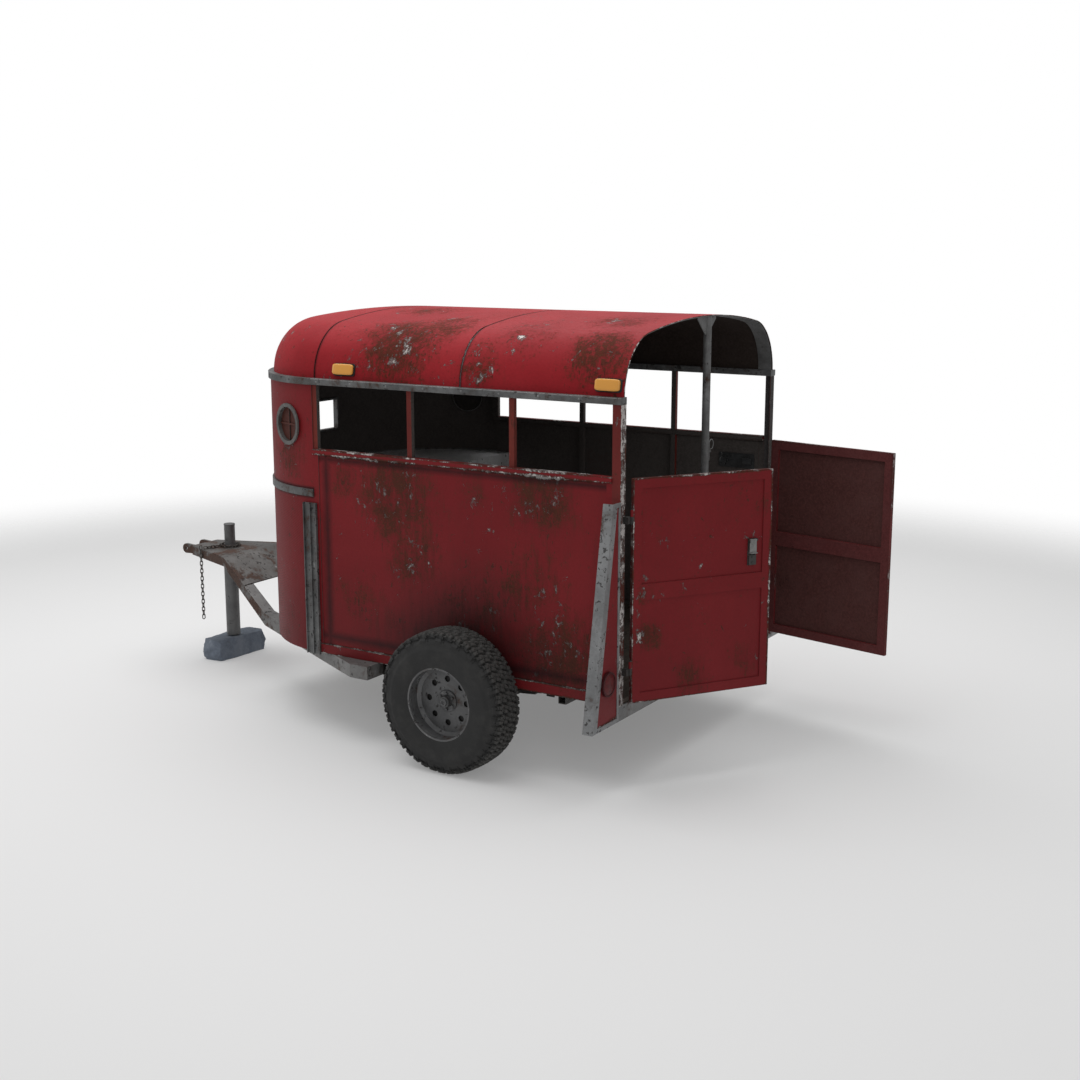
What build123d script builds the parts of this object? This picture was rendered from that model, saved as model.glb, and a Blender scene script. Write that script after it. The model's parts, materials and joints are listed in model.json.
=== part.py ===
from build123d import *
from math import asin, atan2, cos, degrees, radians, sin, sqrt
import os

# Livestock trailer: single axle, round nose, open window band, arched roof, two rear doors.
# Millimetres. +X points to the rear, +Y to the trailer's right, +Z up, ground at z = 0.
# The origin is under the middle of the whole trailer with its doors standing open.

# ---------------------------------------------------------------- driving dimensions
tyre_radius = 381
tyre_half_width = 119
deck_over_axle = 76

body_half_width = 910
side_length = 1920
nose_depth = 745
side_height = 1150
window_band = 350
lip_z = tyre_radius + deck_over_axle
lip_height = 54
sill_z = lip_z + side_height
sill_height = 30
rail_z = sill_z + window_band
rail_height = 35
roof_inset = 25
roof_nose_inset = 15
roof_half_width = body_half_width - roof_inset
roof_nose_depth = nose_depth - roof_nose_inset
roof_rise = 350
roof_corner_radius = 300
sheet = 3
tube_wall = 4
seat_gap = 0.3
running_clearance = 0.05

tongue_reach = 1085
drawbar_over_lip = 275
pin_drop = 27
pin_reach = side_length + nose_depth + tongue_reach
pin_hole_radius = 11
ear_radius = 32
ear_thickness = 18
ear_outer_y = 85

drawbar_top = lip_z + drawbar_over_lip
pin_height = drawbar_top - pin_drop
drawbar_depth = 55
frame_depth = 75
drawbar_width = 80
drawbar_plate_thickness = 6

rail_depth = 40
rail_width = 50
rail_y = 640
plank_thickness = 25
plank_width = 140
plank_gap = 4

wheel_out = 141
wheel_y = body_half_width + wheel_out
axle_back = 923
axle_side = 50
spindle_radius = 20
leaf_thickness = 8
leaf_half_span = 380
leaf_rise = 25

door_meeting_gap = 47
door_bottom = lip_z + 7
door_top = sill_z - 11
door_thickness = 24
door_border = 50
door_mid_rail = 82
door_left_open = 33.8
door_right_open = 78.0
hinge_x = 30
hinge_in = 58
hinge_y = body_half_width - hinge_in
hinge_edge = 10
door_width = hinge_y - hinge_edge - door_meeting_gap
hinge_pin_radius = 4
knuckle_radius = 8
knuckle_height = 34

jack_ahead = 770
jack_back = side_length + nose_depth + jack_ahead
jack_sleeve_radius = 35
jack_leg_radius = 45
jack_sleeve_top = drawbar_top + 152
jack_sleeve_bottom = drawbar_top - 392
stone_length = 200
stone_width = 480
stone_height = 144

fin_top = sill_z - 120
fin_bottom = lip_z - frame_depth
fin_top_y = body_half_width + 75
fin_bottom_y = body_half_width + 264
lamp_radius = 62
lamp_y = body_half_width + 114
lamp_z = lip_z + 148

post_radius = 21
post_y = 60
chain_wire = 3
chain_bend = 8.5
chain_straight = 15
chain_pitch = chain_straight + 2 * chain_bend - 2 * chain_wire - 0.4

# ---------------------------------------------------------------- places that follow from them
door_swing = radians(door_right_open)
door_reach = hinge_x + (hinge_edge + door_width) * sin(door_swing) - 4 * cos(door_swing)
rear_x = (pin_reach + ear_radius - door_reach) / 2
seam_x = rear_x - side_length
nose_x = seam_x - nose_depth
axle_x = rear_x - axle_back
axle_z = tyre_radius
pin_x = rear_x - pin_reach
jack_x = rear_x - jack_back
roof_z = rail_z + rail_height
floor_z = lip_z + plank_thickness
crown_radius = ((roof_half_width - roof_corner_radius) ** 2 + roof_rise**2 - roof_corner_radius**2) / (
    2 * (roof_rise - roof_corner_radius)
)
crown_angle = degrees(atan2(roof_half_width - roof_corner_radius, crown_radius - roof_rise))

os.makedirs("parts", exist_ok=True)


def write(piece, name):
    """Label a finished piece and write its STEP file."""
    piece.part.label = name
    export_step(piece.part, f"parts/{name}.step")


def block(x0, x1, y0, y1, z0, z1, mode=Mode.ADD):
    """Add a rectangular block between two corners to the part being built."""
    with Locations(((x0 + x1) / 2, (y0 + y1) / 2, (z0 + z1) / 2)):
        Box(abs(x1 - x0), abs(y1 - y0), abs(z1 - z0), mode=mode)


def sided_block(side, x0, x1, y0, y1, z0, z1, mode=Mode.ADD):
    """Add a block on the left (-1) or right (+1) side, y measured from the centreline."""
    block(x0, x1, side * y0, side * y1, z0, z1, mode)


def tube(run, x0, x1, y0, y1, z0, z1):
    """Add a rectangular tube between two corners, open at both ends along its run."""
    block(x0, x1, y0, y1, z0, z1)
    walls = {"x": (0, tube_wall, tube_wall), "y": (tube_wall, 0, tube_wall)}[run]
    low = (min(x0, x1) + walls[0], min(y0, y1) + walls[1], min(z0, z1) + walls[2])
    high = (max(x0, x1) - walls[0], max(y0, y1) - walls[1], max(z0, z1) - walls[2])
    block(low[0], high[0], low[1], high[1], low[2], high[2], Mode.SUBTRACT)


def round_bar(start, end, radius, mode=Mode.ADD):
    """Add a round bar from one point to another."""
    line = Vector(*end) - Vector(*start)
    with BuildSketch(Plane(origin=start, z_dir=line)) as section:
        Circle(radius)
    extrude(section.sketch, amount=line.length, mode=mode)


def half_ring(depth_out, half_out, depth_in, half_in):
    """Sketch the half ellipse band that runs round the nose, ahead of the seam."""
    with Locations((seam_x, 0)):
        Ellipse(depth_out, half_out)
        Ellipse(depth_in, half_in, mode=Mode.SUBTRACT)
    with Locations((seam_x - nose_depth, 0)):
        Rectangle(2 * nose_depth, 3 * body_half_width, mode=Mode.INTERSECT)


def nose_point(ahead):
    """Point on the nose wall, and its outward normal, a distance ahead of the seam."""
    across = body_half_width * sqrt(1 - (ahead / nose_depth) ** 2)
    normal = Vector(-ahead / nose_depth**2, across / body_half_width**2, 0).normalized()
    return across, normal


def arch_edges(inset):
    """Draw the roof arch, set in by a distance, from the right foot over to the left."""
    corner_y = roof_half_width - roof_corner_radius
    CenterArc((corner_y, 0), roof_corner_radius - inset, 0, 90 - crown_angle)
    CenterArc((0, roof_rise - crown_radius), crown_radius - inset, 90 - crown_angle, 2 * crown_angle)
    CenterArc((-corner_y, 0), roof_corner_radius - inset, 90 + crown_angle, 90 - crown_angle)


def arch_face(inset, thickness):
    """Sketch the band of the roof arch between two insets."""
    with BuildLine() as outline:
        arch_edges(inset)
        arch_edges(inset + thickness)
        for side in (-1, 1):
            Line((side * (roof_half_width - inset), 0), (side * (roof_half_width - inset - thickness), 0))
    make_face(outline.edges())


def roof_plane(x):
    """Plane across the trailer at the foot of the roof."""
    return Plane(origin=(x, 0, roof_z), x_dir=(0, 1, 0), z_dir=(1, 0, 0))


# ---------------------------------------------------------------- drawbar
# The rails run back from the coupling, bend down under the nose and spread to the outriggers.
kink_front = (nose_x - 565, 280)
kink_rear = (nose_x - 108, 415)
foot_out = 100
foot_front = (seam_x + 300, body_half_width + foot_out)
foot_rear = (seam_x + 420, body_half_width + foot_out)
foot_inner_y = body_half_width - 60
rail_front_x = pin_x + 85
plate_rear_x = nose_x - 330


def along(start, end, x):
    """Value at x on the straight line through two (x, value) points."""
    return start[1] + (end[1] - start[1]) * (x - start[0]) / (end[0] - start[0])


top_front = (kink_front[0], drawbar_top)
top_rear = (kink_rear[0], lip_z)
rail_front_y = along((pin_x, ear_outer_y), kink_front, rail_front_x)
inner_slope = (foot_front[1] - kink_rear[1]) / (foot_front[0] - kink_rear[0])
inner_shift = drawbar_width * sqrt(1 + inner_slope**2)
inner_meet_x = kink_rear[0] + (foot_inner_y - kink_rear[1] + inner_shift) / inner_slope


def drawbar_rail(side):
    """One A-frame rail: its side elevation cut by its plan outline."""
    with BuildPart() as rail:
        with BuildSketch(Plane.XZ.offset(-1.5 * body_half_width)):
            Polygon(
                (rail_front_x, drawbar_top),
                top_front,
                top_rear,
                (foot_rear[0], lip_z),
                (foot_rear[0], lip_z - frame_depth),
                (kink_rear[0], lip_z - frame_depth),
                (kink_front[0], drawbar_top - drawbar_depth),
                (rail_front_x, drawbar_top - drawbar_depth),
                align=None,
            )
        extrude(amount=3 * body_half_width)
        with BuildSketch(Plane.XY):
            Polygon(
                (rail_front_x, side * rail_front_y),
                (kink_front[0], side * kink_front[1]),
                (kink_rear[0], side * kink_rear[1]),
                (foot_front[0], side * foot_front[1]),
                (foot_rear[0], side * foot_rear[1]),
                (foot_rear[0], side * foot_inner_y),
                (inner_meet_x, side * foot_inner_y),
                (kink_rear[0], side * (kink_rear[1] - inner_shift)),
                (kink_front[0], side * (kink_front[1] - drawbar_width)),
                (rail_front_x, side * (rail_front_y - drawbar_width)),
                align=None,
            )
        extrude(amount=2 * drawbar_top, mode=Mode.INTERSECT)
        ends = rail.faces().filter_by(Axis.X).sort_by(Axis.X)
        offset(amount=-tube_wall, openings=[ends[0]])
    return rail


for name, side in (("drawbar_left", -1), ("drawbar_right", 1)):
    write(drawbar_rail(side), name)

# Two ears stand ahead of the rails and carry the crosswise tow pin hole.
with BuildPart() as coupling_ears:
    for side in (-1, 1):
        ear_plane = Plane.XZ.offset(-side * ear_outer_y)
        with BuildSketch(ear_plane):
            with Locations((pin_x, pin_height)):
                Circle(ear_radius)
            Polygon(
                (pin_x, pin_height + ear_radius),
                (rail_front_x, drawbar_top),
                (rail_front_x, drawbar_top - drawbar_depth),
                (pin_x, pin_height - ear_radius),
                align=None,
            )
            with Locations((pin_x, pin_height)):
                Circle(pin_hole_radius, mode=Mode.SUBTRACT)
        extrude(amount=side * ear_thickness)
write(coupling_ears, "coupling_ears")

# The bent top plate lies on both rails and lets the jack sleeve through.
plate_end_z = along(top_front, top_rear, plate_rear_x)
with BuildPart() as drawbar_plate:
    with BuildSketch(Plane.XZ.offset(-body_half_width)):
        Polygon(
            (rail_front_x, drawbar_top),
            top_front,
            (plate_rear_x, plate_end_z),
            (plate_rear_x, plate_end_z + drawbar_plate_thickness),
            (kink_front[0], drawbar_top + drawbar_plate_thickness),
            (rail_front_x, drawbar_top + drawbar_plate_thickness),
            align=None,
        )
    extrude(amount=2 * body_half_width)
    with BuildSketch(Plane.XY):
        plate_rear_y = along(kink_front, kink_rear, plate_rear_x)
        Polygon(
            (rail_front_x, -rail_front_y),
            (kink_front[0], -kink_front[1]),
            (plate_rear_x, -plate_rear_y),
            (plate_rear_x, plate_rear_y),
            (kink_front[0], kink_front[1]),
            (rail_front_x, rail_front_y),
            align=None,
        )
    extrude(amount=2 * drawbar_top, mode=Mode.INTERSECT)
    with BuildSketch(Plane.XY):
        with Locations((jack_x, 0)):
            Circle(jack_sleeve_radius)
    extrude(amount=2 * drawbar_top, mode=Mode.SUBTRACT)
write(drawbar_plate, "drawbar_plate")

# ---------------------------------------------------------------- jack
# The leg slides over the fixed sleeve and bears up against its collar.
collar_height = 26
leg_top = drawbar_top - collar_height - seat_gap
with BuildPart() as jack_sleeve:
    with BuildSketch(Plane.XY.offset(jack_sleeve_bottom)):
        with Locations((jack_x, 0)):
            Circle(jack_sleeve_radius)
            Circle(jack_sleeve_radius - 5, mode=Mode.SUBTRACT)
    extrude(amount=jack_sleeve_top - jack_sleeve_bottom)
    with BuildSketch(Plane.XY.offset(jack_sleeve_top)):
        with Locations((jack_x, 0)):
            Circle(jack_sleeve_radius + 2)
    extrude(amount=7)
    with BuildSketch(Plane.XY.offset(drawbar_top - collar_height)):
        with Locations((jack_x, 0)):
            Circle(jack_leg_radius + 9)
            Circle(jack_sleeve_radius - 5, mode=Mode.SUBTRACT)
    extrude(amount=collar_height)
    chamfer(jack_sleeve.edges().group_by(Axis.Z)[-1], 3)
write(jack_sleeve, "jack_sleeve")

with BuildPart() as jack_leg:
    with BuildSketch(Plane.XY.offset(stone_height)):
        with Locations((jack_x, 0)):
            Circle(jack_leg_radius)
            Circle(jack_sleeve_radius + running_clearance, mode=Mode.SUBTRACT)
    extrude(amount=leg_top - stone_height)
write(jack_leg, "jack_leg")

with BuildPart() as stone_block:
    with BuildSketch(Plane.XY):
        with Locations((jack_x - 20, 20)):
            Rectangle(stone_length, stone_width)
        chamfer(vertices(), 34)
    extrude(amount=stone_height)
    chamfer(stone_block.faces().sort_by(Axis.Z)[-1].edges(), 16)
write(stone_block, "stone_block")

# ---------------------------------------------------------------- safety chain
def chain_link(centre, direction, roll):
    """Add one stadium-shaped link, lying along a direction and turned about it."""
    level = Vector(0, 0, 1) if abs(direction.Z) < 0.9 else Vector(1, 0, 0)
    across = direction.cross(level).normalized().rotate(Axis((0, 0, 0), direction), roll)
    half = chain_straight / 2
    link_plane = Plane(origin=centre, x_dir=direction, z_dir=direction.cross(across))
    with BuildLine(link_plane) as path:
        top = Line((-half, chain_bend), (half, chain_bend))
        ThreePointArc((half, chain_bend), (half + chain_bend, 0), (half, -chain_bend))
        Line((half, -chain_bend), (-half, -chain_bend))
        ThreePointArc((-half, -chain_bend), (-half - chain_bend, 0), (-half, chain_bend))
    with BuildSketch(Plane(origin=top @ 0, z_dir=top % 0)) as section:
        Circle(chain_wire)
    sweep(section.sketch, path=path.wires()[0])


# One end is wound round the jack sleeve and lies on the plate; the other hangs beside the left rail.
chain_x = jack_x - 85
rail_slope = (kink_front[1] - ear_outer_y) / (kink_front[0] - pin_x)
rail_turn = degrees(atan2(rail_slope, 1))
hang_gap = chain_bend + chain_wire + 0.6
hang_y = -(along((pin_x, ear_outer_y), kink_front, chain_x) + hang_gap / cos(radians(rail_turn)))
wrap_z = drawbar_top + drawbar_plate_thickness + chain_wire + chain_bend * sin(radians(45)) + seat_gap
hang_top = wrap_z + 14
hang_links = 19
with BuildPart() as chain_hanging:
    for number in range(hang_links):
        centre = Vector(chain_x, hang_y, hang_top - (number + 0.5) * chain_pitch)
        chain_link(centre, Vector(0, 0, -1), rail_turn + 90 * (number % 2))
write(chain_hanging, "chain_hanging")

wrap_links = 16
wrap_pitch = chain_pitch - 1.6
wrap_radius = wrap_pitch / (2 * sin(radians(180 / wrap_links)))
lead_links = 4
lead_way = Vector(chain_x - jack_x, hang_y, 0).normalized()
with BuildPart() as chain_wrap:
    for number in range(wrap_links):
        turn = radians(360 / wrap_links * (number + 0.5))
        centre = Vector(jack_x + wrap_radius * cos(turn), wrap_radius * sin(turn), wrap_z)
        chain_link(centre, Vector(-sin(turn), cos(turn), 0), 45 + 90 * (number % 2))
    for number in range(lead_links):
        reach = wrap_radius + 31 + number * chain_pitch
        centre = Vector(jack_x, 0, wrap_z) + lead_way * reach
        chain_link(centre, lead_way, 45 + 90 * (number % 2))
write(chain_wrap, "chain_wrap")

# ---------------------------------------------------------------- chassis
beam_rear_x = foot_rear[0] + 60
bumper_front_x = rear_x - 60
rail_bottom_z = lip_z - rail_depth
cross_backs = (1180, 700, 330)
cross_width = 45

with BuildPart() as chassis_rails:
    for side in (-1, 1):
        tube("x", beam_rear_x, bumper_front_x, side * (rail_y - rail_width / 2),
             side * (rail_y + rail_width / 2), rail_bottom_z, lip_z)
write(chassis_rails, "chassis_rails")

nose_beam_x = nose_x - 35
nose_beam_y = along(kink_rear, foot_front, nose_beam_x) - inner_shift
with BuildPart() as crossmembers:
    tube("y", foot_rear[0], beam_rear_x, -foot_inner_y - 25, foot_inner_y + 25, lip_z - frame_depth, lip_z)
    tube("y", nose_beam_x, nose_beam_x + 50, -nose_beam_y, nose_beam_y, lip_z - frame_depth, lip_z)
    for back in cross_backs:
        x0 = rear_x - back - cross_width / 2
        x1 = x0 + cross_width
        inner_y = rail_y - rail_width / 2
        tube("y", x0, x1, -inner_y, inner_y, rail_bottom_z, lip_z)
        for side in (-1, 1):
            tube("y", x0, x1, side * (rail_y + rail_width / 2), side * (body_half_width - 5),
                 rail_bottom_z, lip_z)
write(crossmembers, "crossmembers")

with BuildPart() as rear_bumper:
    tube("y", bumper_front_x, rear_x, -body_half_width, body_half_width, fin_bottom, lip_z)
write(rear_bumper, "rear_bumper")

# ---------------------------------------------------------------- axle and springs
spindle_end = wheel_y + 36
with BuildPart() as axle:
    block(axle_x - axle_side / 2, axle_x + axle_side / 2, -wheel_y + 105, wheel_y - 105,
          axle_z - axle_side / 2, axle_z + axle_side / 2)
    for side in (-1, 1):
        round_bar((axle_x, side * (wheel_y - 105), axle_z), (axle_x, side * spindle_end, axle_z), spindle_radius)
        round_bar((axle_x, side * (spindle_end + 2), axle_z), (axle_x, side * (spindle_end + 14), axle_z), 30)
        round_bar((axle_x, side * (spindle_end - 1), axle_z), (axle_x, side * (spindle_end + 3), axle_z), 17)
write(axle, "axle")

# The springs hang under the axle: the leaves are arcs about one centre, lowest at the axle.
leaf_radius = (leaf_half_span**2 + leaf_rise**2) / (2 * leaf_rise)
leaf_top_z = axle_z - axle_side / 2 - seat_gap
eye_radius = 15
eye_z = leaf_top_z + leaf_rise
bolt_radius = 7
leaf_gap = 0.2
leaf_spans = (leaf_half_span, 280, 170)
with BuildPart() as leaf_springs:
    for side in (-1, 1):
        spring_plane = Plane.XZ.offset(-side * rail_y)
        for number, span in enumerate(leaf_spans):
            inner = leaf_radius + number * (leaf_thickness + leaf_gap)
            sweep_angle = 2 * degrees(asin(span / leaf_radius))
            with BuildSketch(spring_plane):
                with BuildLine():
                    start = 270 - sweep_angle / 2
                    centre = (axle_x, leaf_top_z + leaf_radius)
                    upper = CenterArc(centre, inner, start, sweep_angle)
                    lower = CenterArc(centre, inner + leaf_thickness, start, sweep_angle)
                    Line(upper @ 0, lower @ 0)
                    Line(upper @ 1, lower @ 1)
                make_face()
                if number == 0:
                    with Locations((axle_x - span, eye_z), (axle_x + span, eye_z)):
                        Circle(eye_radius)
                        Circle(bolt_radius + running_clearance, mode=Mode.SUBTRACT)
            extrude(amount=rail_width / 2, both=True)
write(leaf_springs, "leaf_springs")

hanger_thickness = 6
with BuildPart() as spring_hangers:
    for side in (-1, 1):
        for end in (-1, 1):
            eye_x = axle_x + end * leaf_half_span
            for face in (-1, 1):
                near = rail_y + face * (rail_width / 2 + seat_gap)
                far = near + face * hanger_thickness
                sided_block(side, eye_x - 24, eye_x + 24, near, far, eye_z - 22, lip_z - 2)
            reach = rail_width / 2 + hanger_thickness + 8
            round_bar((eye_x, side * (rail_y - reach), eye_z), (eye_x, side * (rail_y + reach), eye_z),
                      bolt_radius)
write(spring_hangers, "spring_hangers")

clamp_radius = 5
clamp_x = axle_side / 2 + clamp_radius + 3
pack_bottom_z = leaf_top_z - len(leaf_spans) * (leaf_thickness + leaf_gap)
with BuildPart() as spring_clamps:
    for side in (-1, 1):
        leg_y = rail_width / 2 + clamp_radius + 2
        sided_block(side, axle_x - clamp_x - 14, axle_x + clamp_x + 14, rail_y - leg_y - 12,
                    rail_y + leg_y + 12, pack_bottom_z - 8, pack_bottom_z - leaf_gap)
        for end in (-1, 1):
            leg_x = axle_x + end * clamp_x
            for face in (-1, 1):
                leg_at = side * rail_y + face * leg_y
                round_bar((leg_x, leg_at, pack_bottom_z - 22), (leg_x, leg_at, axle_z + axle_side / 2 + 3),
                          clamp_radius)
            round_bar((leg_x, side * rail_y - leg_y, axle_z + axle_side / 2 + 3),
                      (leg_x, side * rail_y + leg_y, axle_z + axle_side / 2 + 3), clamp_radius)
write(spring_clamps, "spring_clamps")

# ---------------------------------------------------------------- wheels
rim_half_width = 108
rim_lip_radius = 206
bead_radius = 191
disc_face = 20
disc_thickness = 6
barrel_sheet = 5
hand_hole_radius = 17
hand_hole_circle = 118
hub_bore_clearance = 0.5
hub_radius = 44
stud_circle = 72


def wheel_plane(side):
    """Plane through the axle line: local x runs outwards from the wheel's middle, local y is up."""
    return Plane(origin=(axle_x, side * wheel_y, axle_z), x_dir=(0, side, 0), z_dir=(side, 0, 0))


def face_plane(side, out):
    """Plane across the axle line, a distance out from the wheel's middle, facing outwards."""
    return Plane(origin=(axle_x, side * (wheel_y + out), axle_z), x_dir=(1, 0, 0), z_dir=(0, side, 0))


wheel_axis = Axis((axle_x, 0, axle_z), (0, 1, 0))
for name, side in (("left", -1), ("right", 1)):
    with BuildPart() as tyre:
        with BuildSketch(wheel_plane(side)):
            Polygon(
                (-98, bead_radius + seat_gap), (-113, 245), (-tyre_half_width, 300), (-115, 350), (-96, 374),
                (-50, tyre_radius), (50, tyre_radius), (96, 374), (115, 350), (tyre_half_width, 300),
                (113, 245), (98, bead_radius + seat_gap), (82, bead_radius + seat_gap), (98, 248),
                (104, 300), (98, 340), (80, 358), (-80, 358), (-98, 340), (-104, 300), (-98, 248),
                (-82, bead_radius + seat_gap),
                align=None,
            )
        revolve(axis=wheel_axis)
    write(tyre, f"tyre_{name}")

    with BuildPart() as wheel_rim:
        with BuildSketch(wheel_plane(side)):
            Polygon(
                (-rim_half_width, rim_lip_radius), (-103, rim_lip_radius), (-102, bead_radius),
                (-62, bead_radius), (-48, 172), (disc_face + 2, 172), (36, bead_radius), (102, bead_radius),
                (103, rim_lip_radius), (rim_half_width, rim_lip_radius), (107, bead_radius - barrel_sheet),
                (38, bead_radius - barrel_sheet), (disc_face + 4, 172 - barrel_sheet),
                (disc_face, 172 - barrel_sheet), (disc_face, hub_radius + hub_bore_clearance),
                (disc_face - disc_thickness, hub_radius + hub_bore_clearance),
                (disc_face - disc_thickness, 172 - barrel_sheet), (-50, 172 - barrel_sheet),
                (-64, bead_radius - barrel_sheet), (-107, bead_radius - barrel_sheet),
                align=None,
            )
        revolve(axis=wheel_axis)
        with BuildSketch(face_plane(side, disc_face + 1)):
            with PolarLocations(hand_hole_circle, 8):
                Circle(hand_hole_radius)
        extrude(amount=-disc_thickness - 2, mode=Mode.SUBTRACT)
    write(wheel_rim, f"wheel_rim_{name}")

    flange_face = disc_face - disc_thickness - seat_gap
    with BuildPart() as hub:
        with BuildSketch(wheel_plane(side)):
            bore = spindle_radius + running_clearance
            Polygon(
                (-60, bore), (-60, 38), (0, 38), (0, 92), (flange_face, 92), (flange_face, hub_radius),
                (58, hub_radius), (64, hub_radius - 6), (64, 0), (54, 0), (54, 34),
                (36 + 1, 34), (36 + 1, bore),
                align=None,
            )
        revolve(axis=wheel_axis)
        with BuildSketch(face_plane(side, disc_face + seat_gap)):
            with PolarLocations(stud_circle, 6):
                RegularPolygon(12, 6)
        extrude(amount=16)
    write(hub, f"hub_{name}")

# ---------------------------------------------------------------- body shell
jamb_width = 30
jamb_lap = 10
post_width = 30
post_depth = 25
post_inset = 5
corner_width = 50
skin_recess = 4
frame_skin = 6
lip_out = 3
sill_out = 8
sill_depth = post_inset + post_depth
post_backs = (1267, 630)
corner_front_x = rear_x - corner_width

with BuildPart() as floor_planks:
    planks = int((side_length - 10) // (plank_width + plank_gap))
    pitch = (side_length - 10) / planks
    for number in range(planks):
        x0 = seam_x + 5 + number * pitch
        block(x0, x0 + pitch - plank_gap, -body_half_width + 17, body_half_width - 17, lip_z, floor_z)
    with BuildSketch(Plane.XY.offset(lip_z)):
        half_ring(nose_depth - 8, body_half_width - 17, 1, 1)
    extrude(amount=plank_thickness)
write(floor_planks, "floor_planks")

panel_front_x = seam_x + 35
panel_rear_x = corner_front_x - 30
with BuildPart() as side_panels:
    for side in (-1, 1):
        sided_block(side, panel_front_x, panel_rear_x, body_half_width - skin_recess - sheet,
                    body_half_width - skin_recess, lip_z + lip_height, sill_z - sill_height)
write(side_panels, "side_panels")

with BuildPart() as side_frames:
    for side in (-1, 1):
        inner_y = body_half_width - frame_skin
        sided_block(side, seam_x, corner_front_x, body_half_width - 15, body_half_width + lip_out,
                    lip_z, lip_z + lip_height)
        sided_block(side, seam_x, corner_front_x, body_half_width - sill_depth, body_half_width + sill_out,
                    sill_z - sill_height, sill_z)
        for x0, x1 in ((seam_x, panel_front_x), (panel_rear_x, corner_front_x)):
            sided_block(side, x0, x1, inner_y, body_half_width, lip_z + lip_height, sill_z - sill_height)
write(side_frames, "side_frames")

# Posts carry the roof rail over the open window band, with studs below them inside the skin.
with BuildPart() as wall_posts:
    for side in (-1, 1):
        outer_y = body_half_width - post_inset
        inner_y = outer_y - post_depth
        for back in post_backs:
            x0 = rear_x - back - post_width / 2
            tube_x1 = x0 + post_width
            sided_block(side, x0, tube_x1, inner_y, outer_y, sill_z, rail_z)
            sided_block(side, x0, tube_x1, inner_y, body_half_width - skin_recess - sheet,
                        lip_z + lip_height, sill_z - sill_height)
        sided_block(side, seam_x - jamb_lap, seam_x + jamb_width, inner_y, outer_y, sill_z, rail_z)
write(wall_posts, "wall_posts")

with BuildPart() as rear_posts:
    for side in (-1, 1):
        sided_block(side, corner_front_x, rear_x, body_half_width - 5, body_half_width, lip_z, rail_z)
        sided_block(side, rear_x - 5, rear_x, body_half_width - 45, body_half_width - 5, lip_z, rail_z)
write(rear_posts, "rear_posts")

channel_front_x = seam_x - 72
channel_rear_x = seam_x + 20
channel_y = body_half_width + lip_out + seat_gap
with BuildPart() as corner_channels:
    for side in (-1, 1):
        z0 = lip_z - 10
        z1 = lip_z + 850
        sided_block(side, channel_front_x, channel_rear_x, channel_y, channel_y + 4, z0, z1)
        for x0 in (channel_front_x, seam_x - 26, channel_rear_x - 5):
            sided_block(side, x0, x0 + 5, channel_y + 4, channel_y + 15, z0, z1)
write(corner_channels, "corner_channels")

# ---------------------------------------------------------------- nose
belt_z = lip_z + 885
belt_height = 41
belt_in = 14
window_half_width = 180
window_z = (sill_z - 47, sill_z + 131)
window_cut = 12
porthole_ahead = 200
porthole_z = sill_z + 120
porthole_radius = 100
porthole_rim = 15


def porthole_plane(side, out):
    """Plane facing outwards at a porthole, a distance out from the nose wall."""
    across, normal = nose_point(porthole_ahead)
    facing = Vector(normal.X, side * normal.Y, 0)
    centre = Vector(seam_x - porthole_ahead, side * across, porthole_z) + facing * out
    return Plane(origin=centre, x_dir=(-facing.Y, facing.X, 0), z_dir=facing)


with BuildPart() as nose_lower:
    with BuildSketch(Plane.XY.offset(lip_z)):
        half_ring(nose_depth, body_half_width, nose_depth - sheet, body_half_width - sheet)
    extrude(amount=belt_z - lip_z)
write(nose_lower, "nose_lower")

with BuildPart() as nose_belt:
    with BuildSketch(Plane.XY.offset(belt_z)):
        half_ring(nose_depth + 9, body_half_width + 9, nose_depth - belt_in, body_half_width - belt_in)
    extrude(amount=belt_height)
write(nose_belt, "nose_belt")

with BuildPart() as nose_upper:
    with BuildSketch(Plane.XY.offset(belt_z + belt_height)):
        half_ring(nose_depth, body_half_width, nose_depth - sheet, body_half_width - sheet)
    extrude(amount=rail_z - belt_z - belt_height)
    block(nose_x - 50, nose_x + 60, -window_half_width - window_cut, window_half_width + window_cut,
          window_z[0] - window_cut, window_z[1] + window_cut, Mode.SUBTRACT)
    for side in (-1, 1):
        with BuildSketch(porthole_plane(side, -60)):
            Circle(porthole_radius)
        extrude(amount=90, mode=Mode.SUBTRACT)
write(nose_upper, "nose_upper")

frame_front_x = nose_x - 10
with BuildPart() as nose_window_frame:
    wide = window_half_width + window_cut
    low = window_z[0] - window_cut
    high = window_z[1] + window_cut
    block(nose_x - seat_gap, nose_x + 24, -wide + seat_gap, wide - seat_gap, low + seat_gap, high - seat_gap)
    block(frame_front_x, nose_x - seat_gap, -wide - 12, wide + 12, low - 12, high + 12)
    block(frame_front_x, nose_x + 24, -window_half_width, window_half_width, window_z[0], window_z[1],
          Mode.SUBTRACT)
write(nose_window_frame, "nose_window_frame")

with BuildPart() as porthole_rings:
    for side in (-1, 1):
        with BuildSketch(porthole_plane(side, -22)):
            Circle(porthole_radius - seat_gap)
            Circle(porthole_radius - 5, mode=Mode.SUBTRACT)
        extrude(amount=22 + seat_gap)
        with BuildSketch(porthole_plane(side, seat_gap)):
            Circle(porthole_radius + porthole_rim)
            Circle(porthole_radius - 5, mode=Mode.SUBTRACT)
        extrude(amount=10)
write(porthole_rings, "porthole_rings")

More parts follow.
